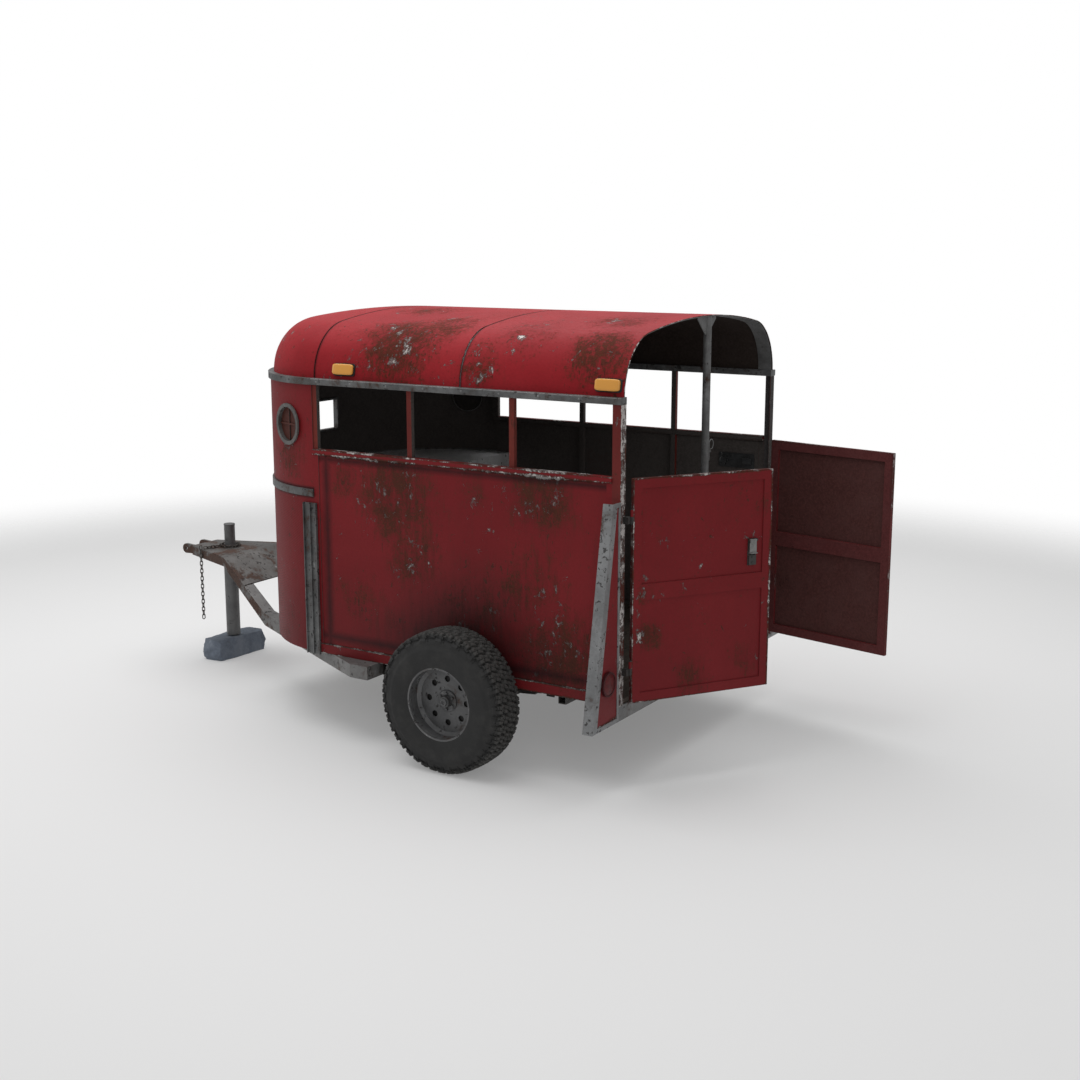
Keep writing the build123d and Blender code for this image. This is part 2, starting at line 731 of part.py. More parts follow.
# A sheet disc closes each porthole, behind a guard of two crossed bars.
with BuildPart() as porthole_discs:
    for side in (-1, 1):
        with BuildSketch(porthole_plane(side, -14)):
            Circle(porthole_radius - 5 - seat_gap)
        extrude(amount=3)
        with BuildSketch(porthole_plane(side, -11)):
            with Locations((0, 0, 0)):
                Rectangle(9, 2 * porthole_radius - 16)
                Rectangle(2 * porthole_radius - 16, 9)
        extrude(amount=7)
write(porthole_discs, "porthole_discs")

# ---------------------------------------------------------------- roof
roof_seam = 6
mid_seam_x = rear_x - 956
nose_ratio = roof_nose_depth / roof_half_width

for name, x0, x1 in (
    ("roof_rear", mid_seam_x + roof_seam / 2, rear_x),
    ("roof_front", seam_x + roof_seam, mid_seam_x - roof_seam / 2),
):
    with BuildPart() as roof_sheet:
        with BuildSketch(roof_plane(x0)):
            arch_face(0, sheet)
        extrude(amount=x1 - x0)
    write(roof_sheet, name)

# The nose cap is the arch turned about a vertical axis, then shortened to the nose depth.
with BuildPart() as dome:
    with BuildSketch(Plane.YZ):
        arch_face(0, sheet)
        with Locations((roof_half_width, roof_rise / 2)):
            Rectangle(2 * roof_half_width, 2 * roof_rise, mode=Mode.INTERSECT)
    revolve(axis=Axis.Z, revolution_arc=180)
    scale(by=(nose_ratio, 1, 1))
with BuildPart() as roof_nose:
    add(dome.part.moved(Location((seam_x, 0, roof_z))))
write(roof_nose, "roof_nose")

bow_width = 44
bow_thickness = 5
rear_bow_width = 80
with BuildPart() as roof_bows:
    for x0, width in ((rear_x - 6 - rear_bow_width, rear_bow_width), (mid_seam_x - bow_width / 2, bow_width),
                      (seam_x + 4, bow_width)):
        with BuildSketch(roof_plane(x0)):
            arch_face(sheet + seat_gap, bow_thickness)
        extrude(amount=width)
write(roof_bows, "roof_bows")

rail_inner_y = body_half_width - 22
rail_outer_y = body_half_width + 13
with BuildPart() as drip_rails:
    for side in (-1, 1):
        sided_block(side, seam_x, rear_x, rail_inner_y, rail_outer_y, rail_z, roof_z)
    fillet(drip_rails.edges().filter_by(Axis.X).group_by(Axis.Y)[-1], 7)
    fillet(drip_rails.edges().filter_by(Axis.X).group_by(Axis.Y)[0], 7)
write(drip_rails, "drip_rails")

nose_rail_out = rail_outer_y - body_half_width
with BuildPart() as nose_drip_rail:
    with BuildSketch(Plane.XY.offset(rail_z)):
        half_ring(nose_depth + nose_rail_out, rail_outer_y, roof_nose_depth - 14, roof_half_width - 14)
    extrude(amount=rail_height)
write(nose_drip_rail, "nose_drip_rail")

with BuildPart() as wall_plates:
    for side in (-1, 1):
        sided_block(side, seam_x, rear_x, rail_inner_y - 26, rail_inner_y, rail_z, roof_z)
write(wall_plates, "wall_plates")

# ---------------------------------------------------------------- marker lamps on the roof sides
marker_length = 137
marker_height = 58
marker_rise = 53
marker_backs = (side_length - 211, 88)
marker_tilt = degrees(asin(marker_rise / roof_corner_radius))


def marker_plane(side, back, out):
    """Plane facing outwards on the roof side at a marker lamp."""
    facing = Vector(0, side * cos(radians(marker_tilt)), sin(radians(marker_tilt)))
    foot = Vector(rear_x - back, side * (roof_half_width - roof_corner_radius), roof_z)
    return Plane(origin=foot + facing * (roof_corner_radius + out), x_dir=(1, 0, 0), z_dir=facing)


with BuildPart() as marker_gaskets:
    for side in (-1, 1):
        for back in marker_backs:
            with BuildSketch(marker_plane(side, back, seat_gap)):
                RectangleRounded(marker_length + 10, marker_height + 10, 16)
            extrude(amount=6)
write(marker_gaskets, "marker_gaskets")

with BuildPart() as marker_lenses:
    for side in (-1, 1):
        for back in marker_backs:
            with BuildSketch(marker_plane(side, back, 6 + seat_gap)):
                RectangleRounded(marker_length, marker_height, 12)
            extrude(amount=20, taper=10)
write(marker_lenses, "marker_lenses")

# ---------------------------------------------------------------- rear post
post_x = rear_x - post_radius - 2
post_drop = crown_radius - sqrt(crown_radius**2 - (post_y + post_radius) ** 2)
post_top_z = roof_z + roof_rise - sheet - bow_thickness - 2 * seat_gap - post_drop
gusset_thickness = 5
gusset_sizes = ((-1, 105, 95), (1, 66, 60))
with BuildPart() as centre_post:
    with BuildSketch(Plane.XY.offset(floor_z)):
        with Locations((post_x, post_y)):
            Circle(post_radius)
            Circle(post_radius - 3, mode=Mode.SUBTRACT)
    extrude(amount=post_top_z - floor_z)
write(centre_post, "centre_post")

# A wire loop pin drops into an eye on the post.
eye_height = sill_z + 1
eye_y = post_y + post_radius + 26
loop_pin_radius = 4
with BuildPart() as post_gussets:
    for side, wide, deep in gusset_sizes:
        drop = crown_radius - sqrt(crown_radius**2 - (post_y + side * (post_radius + wide)) ** 2) - post_drop
        drop = max(drop, 0)
        with BuildSketch(Plane(origin=(post_x, post_y, 0), x_dir=(0, 1, 0), z_dir=(1, 0, 0))):
            Polygon(
                (side * (post_radius + seat_gap), post_top_z - 1),
                (side * (post_radius + wide), post_top_z - 1 - drop),
                (side * (post_radius + wide), post_top_z - 13 - drop),
                (side * (post_radius + 14), post_top_z - deep),
                (side * (post_radius + seat_gap), post_top_z - deep),
                align=None,
            )
        extrude(amount=gusset_thickness)
    block(post_x - 8, post_x + 8, post_y + post_radius - 1, eye_y + 12, eye_height, eye_height + 8)
    with BuildSketch(Plane.XY.offset(eye_height)):
        with Locations((post_x, eye_y)):
            Circle(loop_pin_radius + running_clearance)
        with Locations((post_x, post_y)):
            Circle(post_radius + seat_gap)
    extrude(amount=8, mode=Mode.SUBTRACT)
write(post_gussets, "post_gussets")

loop_radius = 26
with BuildPart() as loop_pin:
    round_bar((post_x, eye_y, eye_height - 46), (post_x, eye_y, eye_height + loop_radius + 20),
              loop_pin_radius)
    with BuildSketch(Plane.XY.offset(eye_height + 8 + seat_gap)):
        with Locations((post_x, eye_y)):
            Circle(8)
    extrude(amount=5)
    ring_centre = (post_x, eye_y + loop_radius, eye_height + loop_radius + 14)
    with BuildSketch(Plane(origin=ring_centre, x_dir=(0, 1, 0), z_dir=(0, 0, 1))):
        with Locations((loop_radius, 0)):
            Circle(3)
    revolve(axis=Axis(ring_centre, (1, 0, 0)))
write(loop_pin, "loop_pin")

# ---------------------------------------------------------------- rear fins and tail lamps
fin_strip = 46
fin_edge = 18
fin_depth = 50
fin_panel_set = 3


def fin_edge_y(z):
    """Outer edge of the fin at a height."""
    return along((fin_bottom, fin_bottom_y), (fin_top, fin_top_y), z)


def fin_outline(side, inset_outer, inset_inner, inset_end):
    """Corner points of the fin across the trailer, drawn in from its edges."""
    low = fin_bottom + inset_end
    high = fin_top - inset_end
    inner = body_half_width + seat_gap + inset_inner
    points = ((inner, low), (fin_edge_y(low) - inset_outer, low), (fin_edge_y(high) - inset_outer, high),
              (inner, high))
    return [(side * y, z) for y, z in points]


fin_plane = Plane(origin=(rear_x, 0, 0), x_dir=(0, 1, 0), z_dir=(1, 0, 0))
with BuildPart() as fin_frames:
    for side in (-1, 1):
        with BuildSketch(fin_plane):
            Polygon(*fin_outline(side, 0, 0, 0), align=None)
            Polygon(*fin_outline(side, fin_strip, fin_edge, 22), align=None, mode=Mode.SUBTRACT)
        extrude(amount=-6)
        with BuildSketch(fin_plane.offset(-6)):
            Polygon(*fin_outline(side, 0, 0, 0), align=None)
            Polygon(*fin_outline(side, 6, -1, -40), align=None, mode=Mode.SUBTRACT)
        extrude(amount=-fin_depth)
write(fin_frames, "fin_frames")

with BuildPart() as fin_panels:
    for side in (-1, 1):
        with BuildSketch(fin_plane.offset(-fin_panel_set)):
            Polygon(*fin_outline(side, fin_strip, fin_edge, 22), align=None)
        extrude(amount=-sheet)
write(fin_panels, "fin_panels")

lamp_plane = fin_plane.offset(-fin_panel_set)
with BuildPart() as tail_bezels:
    for side in (-1, 1):
        with BuildSketch(lamp_plane):
            with Locations((side * lamp_y, lamp_z)):
                Circle(lamp_radius)
                Circle(lamp_radius - 9, mode=Mode.SUBTRACT)
        extrude(amount=15)
write(tail_bezels, "tail_bezels")

lens_radius = lamp_radius - 9 - seat_gap
lens_crown = 9
lens_ball = (lens_radius**2 + lens_crown**2) / (2 * lens_crown)
with BuildPart() as tail_lenses:
    for side in (-1, 1):
        middle = (rear_x - fin_panel_set, side * lamp_y, lamp_z)
        with BuildSketch(Plane(origin=middle, x_dir=(1, 0, 0), z_dir=(0, -1, 0))):
            with BuildLine():
                base = Line((0, 0), (0, lens_radius))
                rim = Line(base @ 1, (13, lens_radius))
                dome_edge = RadiusArc(rim @ 1, (13 + lens_crown, 0), lens_ball)
                Line(dome_edge @ 1, base @ 0)
            make_face()
        revolve(axis=Axis(middle, (1, 0, 0)))
write(tail_lenses, "tail_lenses")

# ---------------------------------------------------------------- inside fittings
manger_z = lip_z + 920
manger_rear_x = seam_x + 108
with BuildPart() as manger_shelf:
    shelf_half = body_half_width - belt_in - seat_gap
    with BuildSketch(Plane.XY.offset(manger_z - 4)):
        with Locations((seam_x, 0)):
            Ellipse(nose_depth - belt_in - seat_gap, shelf_half)
        with Locations((seam_x - nose_depth, 0)):
            Rectangle(2 * nose_depth, 3 * body_half_width, mode=Mode.INTERSECT)
    extrude(amount=4)
    block(seam_x, manger_rear_x, -shelf_half, shelf_half, manger_z - 4, manger_z)
    block(manger_rear_x - 4, manger_rear_x, -shelf_half, shelf_half, manger_z - 300, manger_z - 4)
write(manger_shelf, "manger_shelf")

bracket_x = (rear_x - 330, rear_x - 105)
bracket_z = (lip_z + 950, lip_z + 1035)
stud_y = body_half_width - skin_recess - sheet
with BuildPart() as butt_bracket:
    sided_block(1, bracket_x[0], bracket_x[1], stud_y - 7, stud_y, bracket_z[0], bracket_z[1])
    boss_z = (bracket_z[0] + bracket_z[1]) / 2
    round_bar((bracket_x[0] + 36, stud_y - 7, boss_z), (bracket_x[0] + 36, stud_y - 24, boss_z), 24)
    with Locations((bracket_x[1] - 40, stud_y - 7 - 9, boss_z)):
        Box(56, 18, 34)
write(butt_bracket, "butt_bracket")

# ---------------------------------------------------------------- doors
hinge_axis_x = rear_x + hinge_x
leaf_out = 4
hinge_heights = (door_bottom + 150, door_top - 150 - 2 * knuckle_height)
door_turns = {-1: radians(door_left_open), 1: radians(door_right_open)}


def door_plane(side, out):
    """Plane of a door as it stands open.

    Local x runs from the hinge axis to the free edge, local y is up, and the plane lies a distance
    out from the hinge axis, towards the door's outer face.
    """
    turn = door_turns[side]
    outwards = Vector(cos(turn), side * sin(turn), 0)
    origin = Vector(hinge_axis_x, side * hinge_y, 0) + outwards * out
    return Plane(origin=origin, x_dir=(sin(turn), -side * cos(turn), 0), z_dir=outwards * -side)


leaf_start = hinge_edge
leaf_end = hinge_edge + door_width
panel_set = 6
for name, side in (("left", -1), ("right", 1)):
    outer_x = leaf_end - door_border
    inner_x = leaf_start + door_border
    mid_low = (door_bottom + door_top) / 2 - door_mid_rail / 2 - 4
    bays = ((door_bottom + door_border, mid_low), (mid_low + door_mid_rail, door_top - door_border))
    with BuildPart() as door_frame:
        with BuildSketch(door_plane(side, -leaf_out)):
            with Locations(((leaf_start + leaf_end) / 2, (door_bottom + door_top) / 2)):
                Rectangle(door_width, door_top - door_bottom)
            for low, high in bays:
                with Locations(((inner_x + outer_x) / 2, (low + high) / 2)):
                    Rectangle(outer_x - inner_x, high - low, mode=Mode.SUBTRACT)
        extrude(amount=side * door_thickness)
        for height in hinge_heights:
            base_z = height + knuckle_height + seat_gap
            with BuildSketch(door_plane(side, 0)):
                with Locations(((leaf_start + knuckle_radius - 2) / 2, base_z + knuckle_height / 2)):
                    Rectangle(leaf_start - knuckle_radius + 2, knuckle_height)
            extrude(amount=side * (leaf_out + door_thickness - 2))
            with BuildSketch(Plane.XY.offset(base_z)):
                with Locations((hinge_axis_x, side * hinge_y)):
                    Circle(knuckle_radius)
            extrude(amount=knuckle_height)
            with BuildSketch(Plane.XY.offset(base_z)):
                with Locations((hinge_axis_x, side * hinge_y)):
                    Circle(hinge_pin_radius + running_clearance)
            extrude(amount=knuckle_height, mode=Mode.SUBTRACT)
    write(door_frame, f"door_frame_{name}")

    with BuildPart() as door_panels:
        for low, high in bays:
            with BuildSketch(door_plane(side, -leaf_out - panel_set)):
                with Locations(((inner_x + outer_x) / 2, (low + high) / 2)):
                    Rectangle(outer_x - inner_x, high - low)
            extrude(amount=side * sheet)
    write(door_panels, f"door_panels_{name}")

with BuildPart() as hinge_brackets:
    for side in (-1, 1):
        for height in hinge_heights:
            sided_block(side, rear_x, hinge_axis_x - 2, hinge_y + 2, hinge_y + 34, height,
                        height + knuckle_height)
            with BuildSketch(Plane.XY.offset(height)):
                with Locations((hinge_axis_x, side * hinge_y)):
                    Circle(knuckle_radius)
            extrude(amount=knuckle_height)
            with BuildSketch(Plane.XY.offset(height)):
                with Locations((hinge_axis_x, side * hinge_y)):
                    Circle(hinge_pin_radius)
            extrude(amount=knuckle_height, mode=Mode.SUBTRACT)
write(hinge_brackets, "hinge_brackets")

with BuildPart() as hinge_pins:
    for side in (-1, 1):
        for height in hinge_heights:
            top = height + 2 * knuckle_height + 2 * seat_gap
            round_bar((hinge_axis_x, side * hinge_y, height - 5), (hinge_axis_x, side * hinge_y, top),
                      hinge_pin_radius)
            round_bar((hinge_axis_x, side * hinge_y, top), (hinge_axis_x, side * hinge_y, top + 4),
                      hinge_pin_radius + 3)
write(hinge_pins, "hinge_pins")

# ---------------------------------------------------------------- door latch
latch_x = leaf_end - 112
latch_top_z = lip_z + 789
latch_width = 50
paddle_width = 40
paddle_height = 74
latch_pin_radius = 2.5
mount_pad_out = -leaf_out - panel_set + seat_gap


def latch_box(x_half, z0, z1, out0, out1, x_mid=latch_x, mode=Mode.ADD):
    """Add a block on the left door's outer face."""
    with BuildSketch(door_plane(-1, out0)) as face:
        with Locations((x_mid, (z0 + z1) / 2)):
            Rectangle(2 * x_half, z1 - z0)
    extrude(face.sketch, amount=out1 - out0, mode=mode)


def latch_bar(z, out, x0, x1, radius, mode=Mode.ADD):
    """Add a bar along the door at a height and distance out."""
    turn = door_turns[-1]
    along_door = Vector(sin(turn), cos(turn), 0)
    outwards = Vector(cos(turn), -sin(turn), 0)
    foot = Vector(hinge_axis_x, -hinge_y, z) + outwards * out
    round_bar(tuple(foot + along_door * x0), tuple(foot + along_door * x1), radius, mode)


latch_pin_out = 4
latch_base_out = -leaf_out - panel_set + 3
with BuildPart() as latch_case:
    latch_box(latch_width / 2, latch_top_z - 138, latch_top_z, mount_pad_out, latch_base_out)
    latch_box(21, latch_top_z - 136, latch_top_z - paddle_height - 10, latch_base_out, latch_base_out + 9)
    for offset_x in (-paddle_width / 2 - 3, paddle_width / 2 + 3):
        latch_box(2, latch_top_z - 12, latch_top_z, latch_base_out, latch_pin_out + 4, latch_x + offset_x)
    latch_bar(latch_top_z - 6, latch_pin_out, latch_x - paddle_width / 2 - 5, latch_x + paddle_width / 2 + 5,
              latch_pin_radius)
    for drop in (96, 124):
        with BuildSketch(door_plane(-1, latch_base_out + 9)):
            with Locations((latch_x, latch_top_z - drop)):
                Circle(6)
        extrude(amount=3)
write(latch_case, "latch_case")

with BuildPart() as latch_paddle:
    latch_box(paddle_width / 2, latch_top_z - paddle_height, latch_top_z - 6, latch_pin_out - 1.5,
              latch_pin_out + 1.5)
    latch_box(paddle_width / 2, latch_top_z - paddle_height, latch_top_z - paddle_height + 3,
              latch_pin_out + 1.5, latch_pin_out + 14)
    latch_bar(latch_top_z - 6, latch_pin_out, latch_x - paddle_width / 2, latch_x + paddle_width / 2, 4.5)
    latch_bar(latch_top_z - 6, latch_pin_out, latch_x - paddle_width / 2, latch_x + paddle_width / 2,
              latch_pin_radius + running_clearance, Mode.SUBTRACT)
write(latch_paddle, "latch_paddle")
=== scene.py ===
"""Looks of a weathered single-axle livestock trailer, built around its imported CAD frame.

Lengths are metres. +X points to the trailer's rear, +Y to its right, +Z up, with the ground at zero.
"""

import json
import logging
import math
from dataclasses import dataclass, field
from enum import Enum

import bpy
import numpy as np
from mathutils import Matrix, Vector


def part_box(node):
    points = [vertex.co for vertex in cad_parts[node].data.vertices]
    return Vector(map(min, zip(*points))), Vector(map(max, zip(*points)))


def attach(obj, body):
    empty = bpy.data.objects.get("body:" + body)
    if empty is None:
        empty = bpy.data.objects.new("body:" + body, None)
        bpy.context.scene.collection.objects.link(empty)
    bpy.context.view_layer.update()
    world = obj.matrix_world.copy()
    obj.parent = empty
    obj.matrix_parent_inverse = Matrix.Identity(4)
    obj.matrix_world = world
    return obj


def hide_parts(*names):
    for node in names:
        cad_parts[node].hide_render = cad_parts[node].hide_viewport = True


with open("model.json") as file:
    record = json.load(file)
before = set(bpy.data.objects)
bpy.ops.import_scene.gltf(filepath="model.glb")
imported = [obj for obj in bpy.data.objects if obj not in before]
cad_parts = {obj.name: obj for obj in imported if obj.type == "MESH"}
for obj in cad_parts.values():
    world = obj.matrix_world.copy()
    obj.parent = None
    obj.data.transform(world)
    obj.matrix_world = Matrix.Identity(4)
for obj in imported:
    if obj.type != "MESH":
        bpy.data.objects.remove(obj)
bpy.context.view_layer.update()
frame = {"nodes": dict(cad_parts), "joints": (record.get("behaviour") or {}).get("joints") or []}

LOG = logging.getLogger("trailer")
TAU = 2 * math.pi

Colour = tuple[float, float, float]
Triple = tuple[float, float, float]
Plane = tuple[float, float, float, float, float]
Patch = tuple[float, float, float, float, float]
Setting = dict[str, object]


# ---------------------------------------------------------------- shader maths
class Shade:
    """A shader value. Python arithmetic on it adds Math nodes to its material."""

    def __init__(self, graph: "Graph", socket: bpy.types.NodeSocket) -> None:
        """Wrap one output socket of a material's node."""
        self.graph = graph
        self.socket = socket

    def _math(self, operation: str, first: object, second: object = None) -> "Shade":
        """Add one Math node on two values."""
        inputs = {0: first} if second is None else {0: first, 1: second}
        return self.graph.node("ShaderNodeMath", {"operation": operation}, inputs)

    def __add__(self, other: object) -> "Shade":
        """Sum of two values."""
        return self._math("ADD", self, other)

    __radd__ = __add__

    def __sub__(self, other: object) -> "Shade":
        """Difference of two values."""
        return self._math("SUBTRACT", self, other)

    def __rsub__(self, other: object) -> "Shade":
        """Difference of two values, reflected."""
        return self._math("SUBTRACT", other, self)

    def __mul__(self, other: object) -> "Shade":
        """Product of two values."""
        return self._math("MULTIPLY", self, other)

    __rmul__ = __mul__

    def __truediv__(self, other: object) -> "Shade":
        """Quotient of two values."""
        return self._math("DIVIDE", self, other)

    def __abs__(self) -> "Shade":
        """Size of a value without its sign."""
        return self._math("ABSOLUTE", self)

    def __pow__(self, other: object) -> "Shade":
        """A value raised to a power."""
        return self._math("POWER", self, other)

    def least(self, other: object) -> "Shade":
        """The smaller of two values."""
        return self._math("MINIMUM", self, other)

    def most(self, other: object) -> "Shade":
        """The larger of two values."""
        return self._math("MAXIMUM", self, other)

    def sine(self) -> "Shade":
        """Sine of a value in radians."""
        return self._math("SINE", self)

    def rise(self, low: float, high: float) -> "Shade":
        """Smooth step.

        Args:
            low: the value that gives 0.
            high: the value that gives 1, which may be below low.

        Returns:
            A value between 0 and 1.
        """
        settings = {"interpolation_type": "SMOOTHSTEP"}
        flip = low > high
        start, end = (high, low) if flip else (low, high)
        values = {"Value": self, "From Min": start, "From Max": end,
                  "To Min": float(flip), "To Max": float(not flip)}
        return self.graph.node("ShaderNodeMapRange", settings, values)


class Graph:
    """The node tree of one material, with a few short ways to add nodes."""

    def __init__(self, name: str) -> None:
        """Make an empty material with a Principled surface."""
        self.material = bpy.data.materials.new(name)
        self.material.use_nodes = True
        self.tree = self.material.node_tree
        self.tree.nodes.clear()
        self.surface = self.tree.nodes.new("ShaderNodeBsdfPrincipled")
        output = self.tree.nodes.new("ShaderNodeOutputMaterial")
        self.tree.links.new(self.surface.outputs[0], output.inputs[0])
        self.place = self.node("ShaderNodeTexCoord", output="Object")
        split = self.node("ShaderNodeSeparateXYZ", inputs={0: self.place}).socket.node
        self.x, self.y, self.z = (Shade(self, split.outputs[i]) for i in range(3))

    def node(self, kind: str, settings: Setting | None = None, inputs: dict | None = None,
             output: int | str = 0) -> Shade:
        """Add a node.

        Args:
            kind: the node's type.
            settings: attributes set before the inputs; "stops" fills a colour ramp.
            inputs: values or Shades by socket name or number.
            output: the output socket to return.

        Returns:
            The chosen output, wrapped.
        """
        added = self.tree.nodes.new(kind)
        for key, value in (settings or {}).items():
            if key == "stops":
                self._fill_ramp(added.color_ramp, value)
            else:
                setattr(added, key, value)
        for key, value in (inputs or {}).items():
            self.feed(added.inputs[key], value)
        return Shade(self, added.outputs[output])

    @staticmethod
    def _fill_ramp(ramp: bpy.types.ColorRamp, stops: list[tuple[float, Colour]]) -> None:
        """Give a colour ramp its stops."""
        while len(ramp.elements) > 1:
            ramp.elements.remove(ramp.elements[-1])
        for number, (at, colour) in enumerate(stops):
            stop = ramp.elements[0] if number == 0 else ramp.elements.new(at)
            stop.position = at
            stop.color = (*colour, 1)

    def feed(self, socket: bpy.types.NodeSocket, value: object) -> None:
        """Link a Shade to a socket, or set its plain value."""
        if isinstance(value, Shade):
            self.tree.links.new(value.socket, socket)
        elif isinstance(value, tuple) and len(value) == 3 and socket.type == "RGBA":
            socket.default_value = (*value, 1)
        else:
            socket.default_value = value

    def put(self, **channels: object) -> None:
        """Set the Principled surface's sockets; underscores stand for spaces."""
        for name, value in channels.items():
            self.feed(self.surface.inputs[name.replace("_", " ").title().replace("Ior", "IOR")], value)

    def stretched(self, scale: Triple, shift: Triple = (0, 0, 0)) -> Shade:
        """Object coordinates, scaled along each axis and shifted."""
        scaled = self.node("ShaderNodeVectorMath", {"operation": "MULTIPLY"}, {0: self.place, 1: scale})
        return self.node("ShaderNodeVectorMath", {"operation": "ADD"}, {0: scaled, 1: shift})

    def noise(self, scale: float, detail: float = 4, rough: float = 0.55, where: Shade | None = None,
              warp: float = 0) -> Shade:
        """Noise value between 0 and 1, about a number of cells to the metre."""
        values = {"Vector": where or self.place, "Scale": scale, "Detail": detail, "Roughness": rough,
                  "Distortion": warp}
        return self.node("ShaderNodeTexNoise", inputs=values)

    def blend(self, factor: object, below: object, above: object) -> Shade:
        """Mix two colours, the second over the first."""
        return self.node("ShaderNodeMix", {"data_type": "RGBA"}, {0: factor, 6: below, 7: above}, 2)

    def relief(self, height: Shade, depth: float, strength: float = 1) -> Shade:
        """Bump normal from a height value and its depth in metres."""
        return self.node("ShaderNodeBump", inputs={"Height": height, "Distance": depth, "Strength": strength})

    def along(self, way: Triple) -> Shade:
        """How far a point lies along a direction."""
        return self.node("ShaderNodeVectorMath", {"operation": "DOT_PRODUCT"}, {0: self.place, 1: way}, "Value")

    def facing(self, way: object) -> Shade:
        """How far the surface faces a direction: the dot product of its normal with it."""
        normal = self.node("ShaderNodeTexCoord", output="Normal")
        return self.node("ShaderNodeVectorMath", {"operation": "DOT_PRODUCT"}, {0: normal, 1: way}, "Value")


# ---------------------------------------------------------------- finishes
PAINT_SHADOW: Colour = (0.035, 0.003, 0.004)
PAINT_RUST = ((0.30, (0.016, 0.006, 0.005)), (0.46, (0.044, 0.013, 0.009)), (0.58, (0.074, 0.024, 0.013)),
              (0.72, (0.125, 0.046, 0.022)))
# Bare steel made near-white: partly a painted highlight on chipped metal.
STEEL_AND_PAINTED_GLINT: Colour = (0.60, 0.57, 0.55)
ROAD_DIRT: Colour = (0.022, 0.007, 0.007)
# Painted shade round the wheels, where a wheel shades the side panel.
WHEEL_SHADE: Colour = (0.017, 0.006, 0.006)
SEAM_DARK: Colour = (0.014, 0.004, 0.005)
ZINC_RUST = ((0.32, (0.024, 0.012, 0.009)), (0.52, (0.060, 0.028, 0.017)), (0.70, (0.115, 0.052, 0.028)))
# Pale grey of rubbed zinc, which also serves as painted highlights on the trims.
ZINC_RUB_AND_HIGHLIGHT: Colour = (0.42, 0.42, 0.415)
ZINC_STAIN: Colour = (0.045, 0.032, 0.026)
ZINC_PIT: Colour = (0.016, 0.013, 0.012)


